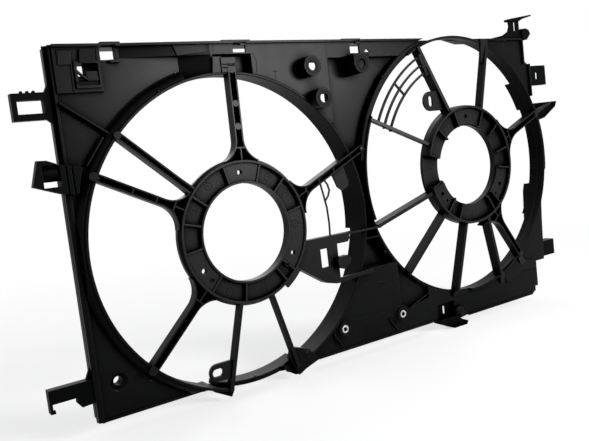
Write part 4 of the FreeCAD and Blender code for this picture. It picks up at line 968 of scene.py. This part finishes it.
@dataclass(frozen=True)
class PanelLines:
    """Fine ridges, raised tiles, a sprung tongue and scribed marks on the panels."""

    corner_ridges: tuple[Rib, ...] = (
        Rib(((-166.0, 5.1, 194.4), (-166.2, 5.1, 181.0)), 1.43, 1.5),
        Rib(((-143.9, 5.1, 194.8), (-144.6, 5.1, 184.8)), 1.43, 1.5),
        Rib(((-154.6, 5.1, 184.8), (-155.2, 5.1, 156.5)), 1.43, 1.5),
        Rib(((-129.2, 5.2, 194.6), (-129.6, 5.2, 182.5), (-128.6, 7.4, 156.0)), 1.1, 4.0))
    corner_tiles: tuple[Plate, ...] = (
        Plate(((-145.7, 194.6), (-131.0, 194.6), (-132.0, 181.0), (-147.6, 181.4)), (3.6, 3.6, 2.6, 2.6), 6.4),
        Plate(((-165.0, 193.6), (-153.2, 193.4), (-155.0, 180.6), (-166.6, 180.6)), (4.8, 4.9, 4.9, 4.8), 6.8),
        Plate(((-152.6, 164.4), (-132.0, 163.8), (-132.4, 159.4), (-153.0, 160.2)), (3.2, 3.2, 4.4, 4.4), 6.4))
    corner_tongue: Rib = Rib(((-153.0, 3.6, 177.2), (-147.4, 4.4, 171.8), (-141.2, 5.0, 166.8),
                              (-131.6, 5.2, 166.2)), 2.2, 3.0)
    plateau_marks: tuple[Rib, ...] = (
        Rib(((61.0, 0.82, 166.4), (68.5, 0.82, 166.0)), 0.7, 0.4),
        Rib(((64.6, 0.82, 166.2), (62.6, 0.82, 156.0)), 0.7, 0.4),
        Rib(((136.9, 0.78, 178.4), (136.9, 0.78, 104.0)), 0.9, 0.5),
        Rib(((38.5, 0.8, 187.0), (42.0, 0.8, 178.0), (41.0, 0.8, 166.0)), 0.8, 0.4))
    lower_lines: tuple[Rib, ...] = (
        Rib(((129.2, 3.7, -103.0), (150.8, 3.7, -90.4), (207.0, 3.7, -91.6)), 1.1, 0.6),
        Rib(((127.5, 3.7, -126.4), (148.6, 3.7, -128.9), (184.0, 3.7, -130.4)), 1.1, 0.6),
        Rib(((264.0, 3.6, -121.0), (226.0, 3.6, -134.4)), 1.32, 0.7))

    def build(self, finishes: Finishes) -> None:
        """Makes the lines, one piece for each panel.

        Args:
            finishes: Materials by slot.
        """
        corner = Moulding("corner_pad_ridges", Slot.PANEL)
        for ridge in self.corner_ridges:
            corner.bar(ridge)
        for tile in self.corner_tiles:
            corner.slab(tile)
        corner.bar(self.corner_tongue)
        corner.finish(finishes)
        for name, ribs in (("plateau_marks", self.plateau_marks), ("lower_panel_lines", self.lower_lines)):
            lines = Moulding(name, Slot.PANEL)
            for rib in ribs:
                lines.bar(rib)
            lines.finish(finishes)


@dataclass(frozen=True)
class InsertFaces:
    """Turned metal faces, the threads inside them, dark as painted shade, and the moulded rings round them."""

    places: tuple[Pair, ...] = ((120.27, -135.3), (211.7, -137.9))
    face: Collar = Collar(3.4, 4.35, 0.2, 0.35, 32)
    face_y: float = 1.1
    thread_radii: Pair = (2.08, 2.55)
    thread_y: float = 1.5
    pitch: float = 1.0
    turns: int = 7
    thread_sides: int = 24
    panel_ring: Collar = Collar(8.7, 11.3, 0.3, 0.9, 36)
    panel_y: float = 4.0
    boss_ring: Collar = Collar(7.0, 7.7, 0.2, 0.25, 36)
    sleeve_ring: Collar = Collar(5.0, 5.6, 0.2, 0.3, 32)
    boss_y: float = 1.5
    smooth_deg: float = 25.0

    def build(self, finishes: Finishes) -> None:
        """Makes the metal faces, the threads in the darkest black plastic as painted shade, and the rings.

        Args:
            finishes: Materials by slot.
        """
        metal = Moulding("insert_faces", Slot.INSERT)
        for place in self.places:
            metal.collar(place, self.face_y, self.face)
        metal.finish(finishes, self.smooth_deg)
        # Painted shade: the threads take the darkest black plastic instead of metal, so the bore reads dark.
        threads = Moulding("insert_threads_painted_shade", Slot.BRACKET)
        (crest, wall), half = self.thread_radii, self.pitch / 2
        for place in self.places:
            for turn in range(self.turns):
                depth = self.thread_y + self.pitch * turn
                threads.lathe(place, [(wall, depth - half), (crest, depth), (wall, depth + half)],
                              self.thread_sides)
        threads.finish(finishes, self.smooth_deg)
        rings = Moulding("insert_rings", Slot.PANEL)
        for place in self.places:
            rings.collar(place, self.panel_y, self.panel_ring)
            rings.collar(place, self.boss_y, self.boss_ring)
            rings.collar(place, self.boss_y, self.sleeve_ring)
        rings.finish(finishes)


@dataclass(frozen=True)
class PostFaces:
    """Rims of the three hollow standoffs, and the raised plate with its round mark at the toe."""

    places: tuple[Pair, ...] = ((104.5, 168.8), (115.4, 133.0), (175.0, 169.5))
    rim: Collar = Collar(9.7, 10.7, 0.2, 0.0001, 40)
    post_y: float = -14.0
    toe: Plate = Plate(((42.5, -137.0), (51.1, -139.2), (64.1, -144.2), (75.0, -156.4), (51.1, -168.5),
                        (48.2, -169.6), (37.7, -147.6)), (-1.8,), 4.4)
    toe_y: float = -1.8
    boss: Pair = (62.0, -149.4)
    boss_rim: Collar = Collar(3.0, 4.2, 0.2, 0.6)
    boss_middle: Stud = Stud(2.4, 0.2, 0.4, 0.3)

    def build(self, finishes: Finishes) -> None:
        """Makes the rims and the toe plate.

        Args:
            finishes: Materials by slot.
        """
        rims = Moulding("standoff_rims", Slot.PANEL)
        for place in self.places:
            rims.collar(place, self.post_y, self.rim)
        rims.finish(finishes)
        foot = Moulding("foot_plate_boss", Slot.PANEL)
        foot.slab(self.toe)
        foot.collar(self.boss, self.toe_y, self.boss_rim)
        foot.stud(self.boss, self.toe_y, self.boss_middle)
        foot.finish(finishes)


@dataclass(frozen=True)
class BracketDetails:
    """Small teeth on the left bracket and the bottom arc, and the lug of the bottom foot."""

    window_tooth: Plate = Plate(((0.0, 0.0), (3.4, 0.0), (2.6, 2.2), (0.9, 2.2)), (14.4,), 18.0)
    window_places: tuple[Pair, ...] = ((-202.0, 157.6), (-196.5, 157.6), (-191.0, 157.6))
    arc_tooth: Plate = Plate(((-3.0, -2.2), (3.2, -2.6), (2.6, 2.2), (-1.0, 0.6)), (8.9,), 12.0)
    arc_places: tuple[Pair, ...] = ((-3.6, -161.6), (33.6, -160.6))
    lug: Pair = (311.0, -156.6)
    lug_profile: tuple[Pair, ...] = ((AXIS_R, 4.5), (8.2, 4.5), (7.6, 1.6), (6.0, -0.4), (3.6, -1.2),
                                     (AXIS_R, -1.4))
    lug_sides: int = 32
    lug_foot: Plate = Plate(((302.0, -158.0), (320.0, -158.0), (324.0, -165.4), (300.0, -168.0)),
                            (-0.8, -0.4, 2.6, 2.6), 4.6)

    def build(self, finishes: Finishes) -> None:
        """Makes the details of the left bracket, the bottom arc and the bottom foot.

        Args:
            finishes: Materials by slot.
        """
        for name, slot, tooth, places in (
                ("window_bracket_teeth", Slot.BRACKET, self.window_tooth, self.window_places),
                ("bottom_arc_teeth", Slot.BARREL, self.arc_tooth, self.arc_places)):
            teeth = Moulding(name, slot)
            for place in places:
                teeth.slab(tooth.moved(place))
            teeth.finish(finishes)
        roll = Moulding("bottom_foot_roll", Slot.PANEL)
        roll.lathe(self.lug, self.lug_profile, self.lug_sides)
        roll.slab(self.lug_foot)
        roll.finish(finishes)


@dataclass(frozen=True)
class Lamp:
    """Soft rectangular lamp, with its place and size in metres."""

    name: str
    place: Triple
    width: float
    height: float
    watts: float

    def build(self, aim: Vector) -> None:
        """Hangs the lamp.

        Args:
            aim: Point that it faces.
        """
        data = bpy.data.lights.new(self.name, "AREA")
        data.shape = "RECTANGLE"
        data.size = self.width
        data.size_y = self.height
        data.energy = self.watts
        lamp = bpy.data.objects.new(self.name, data)
        lamp.location = self.place
        lamp.rotation_euler = (aim - Vector(self.place)).to_track_quat("-Z", "Y").to_euler()
        bpy.context.scene.collection.objects.link(lamp)


@dataclass(frozen=True)
class Studio:
    """White studio: pale floor, soft lamps and the camera of the photograph.

    The small, strong key lamp stands where the raised panel mirrors it to the camera.
    """

    camera_mm: Triple = (-359.66, -645.92, 79.18)
    yaw_deg: float = 33.39
    pitch_deg: float = 5.70
    roll_deg: float = 6.69
    lens_mm: float = 42.82
    sensor_mm: float = 36.0
    lamps: tuple[Lamp, ...] = (Lamp("key_lamp", (0.84, -1.38, 0.38), 0.66, 0.32, 44.0),
                               Lamp("fill_lamp", (-1.4, -0.6, 1.0), 1.2, 1.2, 3.0),
                               Lamp("top_lamp", (0.1, -0.3, 1.9), 1.6, 1.6, 5.0),
                               Lamp("back_lamp", (0.5, 1.5, 0.9), 1.2, 1.2, 12.0))
    lamp_aim: Triple = (0.17, 0.0, 0.02)
    floor_half_m: float = 6.0
    floor_grey: float = 0.86
    floor_white: Pair = (0.62, 1.0)
    floor_fade_m: Pair = (0.35, 1.3)
    sky: Triple = (0.9, 0.92, 0.95)
    sky_strength: float = 0.40

    def build(self) -> None:
        """Makes the camera, the lamps, the floor and the world."""
        self.make_camera()
        for lamp in self.lamps:
            lamp.build(Vector(self.lamp_aim))
        self.make_floor()
        self.make_world()
        bpy.context.scene.view_settings.view_transform = "Standard"

    def make_camera(self) -> None:
        """Places the camera where the photograph was taken from."""
        yaw, pitch, roll = (math.radians(a) for a in (self.yaw_deg, self.pitch_deg, self.roll_deg))
        ahead = Vector((math.sin(yaw) * math.cos(pitch), math.cos(yaw) * math.cos(pitch), -math.sin(pitch)))
        level = Vector((math.cos(yaw), -math.sin(yaw), 0.0))
        down = ahead.cross(level)
        across = math.cos(roll) * level + math.sin(roll) * down
        lower = -math.sin(roll) * level + math.cos(roll) * down
        data = bpy.data.cameras.new("photo_camera")
        data.lens = self.lens_mm
        data.sensor_width = self.sensor_mm
        data.sensor_fit = "HORIZONTAL"
        data.clip_start = 0.01
        data.clip_end = 100.0
        camera = bpy.data.objects.new("photo_camera", data)
        turn = Matrix((across, -lower, -ahead)).transposed()
        camera.matrix_world = Matrix.Translation(Vector(self.camera_mm) * MM) @ turn.to_4x4()
        bpy.context.scene.collection.objects.link(camera)
        bpy.context.scene.camera = camera

    def make_floor(self) -> None:
        """Adds the pale floor under the lowest edge; to the camera it fades to white away from the part."""
        height, half = CAD_BOX[0][2], self.floor_half_m
        corners = [(x * half, y * half, height) for x, y in ((-1, -1), (1, -1), (1, 1), (-1, 1))]
        mesh = bpy.data.meshes.new("floor")
        mesh.from_pydata(corners, [], [(0, 1, 2, 3)])
        floor = bpy.data.objects.new("floor", mesh)
        bpy.context.scene.collection.objects.link(floor)
        material = bpy.data.materials.new("pale_floor")
        nodes = Nodes(material)
        reach = nodes.add("ShaderNodeVectorMath", operation="LENGTH")
        nodes.link(nodes.add("ShaderNodeTexCoord").outputs["Object"], reach.inputs[0])
        fade = nodes.scaled(reach.outputs["Value"], self.floor_white, self.floor_fade_m)
        seen = nodes.add("ShaderNodeLightPath").outputs["Is Camera Ray"]
        paint = nodes.add("ShaderNodeBsdfDiffuse", Color=(*[self.floor_grey] * 3, 1))
        white = nodes.add("ShaderNodeEmission", Color=(1, 1, 1, 1), Strength=1.0)
        nodes.surface(nodes.mixed(nodes.maths("MULTIPLY", fade, seen), paint.outputs[0], white.outputs[0]))
        mesh.materials.append(material)

    def make_world(self) -> None:
        """Lights the part with an even grey, and shows white behind it, in its gloss and through glass."""
        world = bpy.data.worlds.new("studio_world")
        bpy.context.scene.world = world
        nodes = Nodes(world)
        path = nodes.add("ShaderNodeLightPath")
        seen = nodes.maths("MAXIMUM", path.outputs["Is Camera Ray"], path.outputs["Is Glossy Ray"])
        seen = nodes.maths("MAXIMUM", seen, path.outputs["Is Transmission Ray"])
        light = nodes.add("ShaderNodeBackground", Color=(*self.sky, 1), Strength=self.sky_strength)
        white = nodes.add("ShaderNodeBackground", Color=(1, 1, 1, 1), Strength=1.0)
        nodes.surface(nodes.mixed(seen, light.outputs[0], white.outputs[0]), "ShaderNodeOutputWorld")


def main() -> None:
    """Dresses the solids, adds the small moulded details and sets the studio."""
    logging.basicConfig(level=logging.INFO, format="%(name)s: %(message)s")
    finishes = Finishes()
    log.info("solids dressed: %d", finishes.dress_solids())
    for sub_assembly in (RimStuds(), RingDetails(), SpokeEnds(), Joins(), PanelLines(), InsertFaces(),
                         PostFaces(), BracketDetails()):
        sub_assembly.build(finishes)
    Studio().build()
    log.info("studio set")


if __name__ == "__main__":
    main()
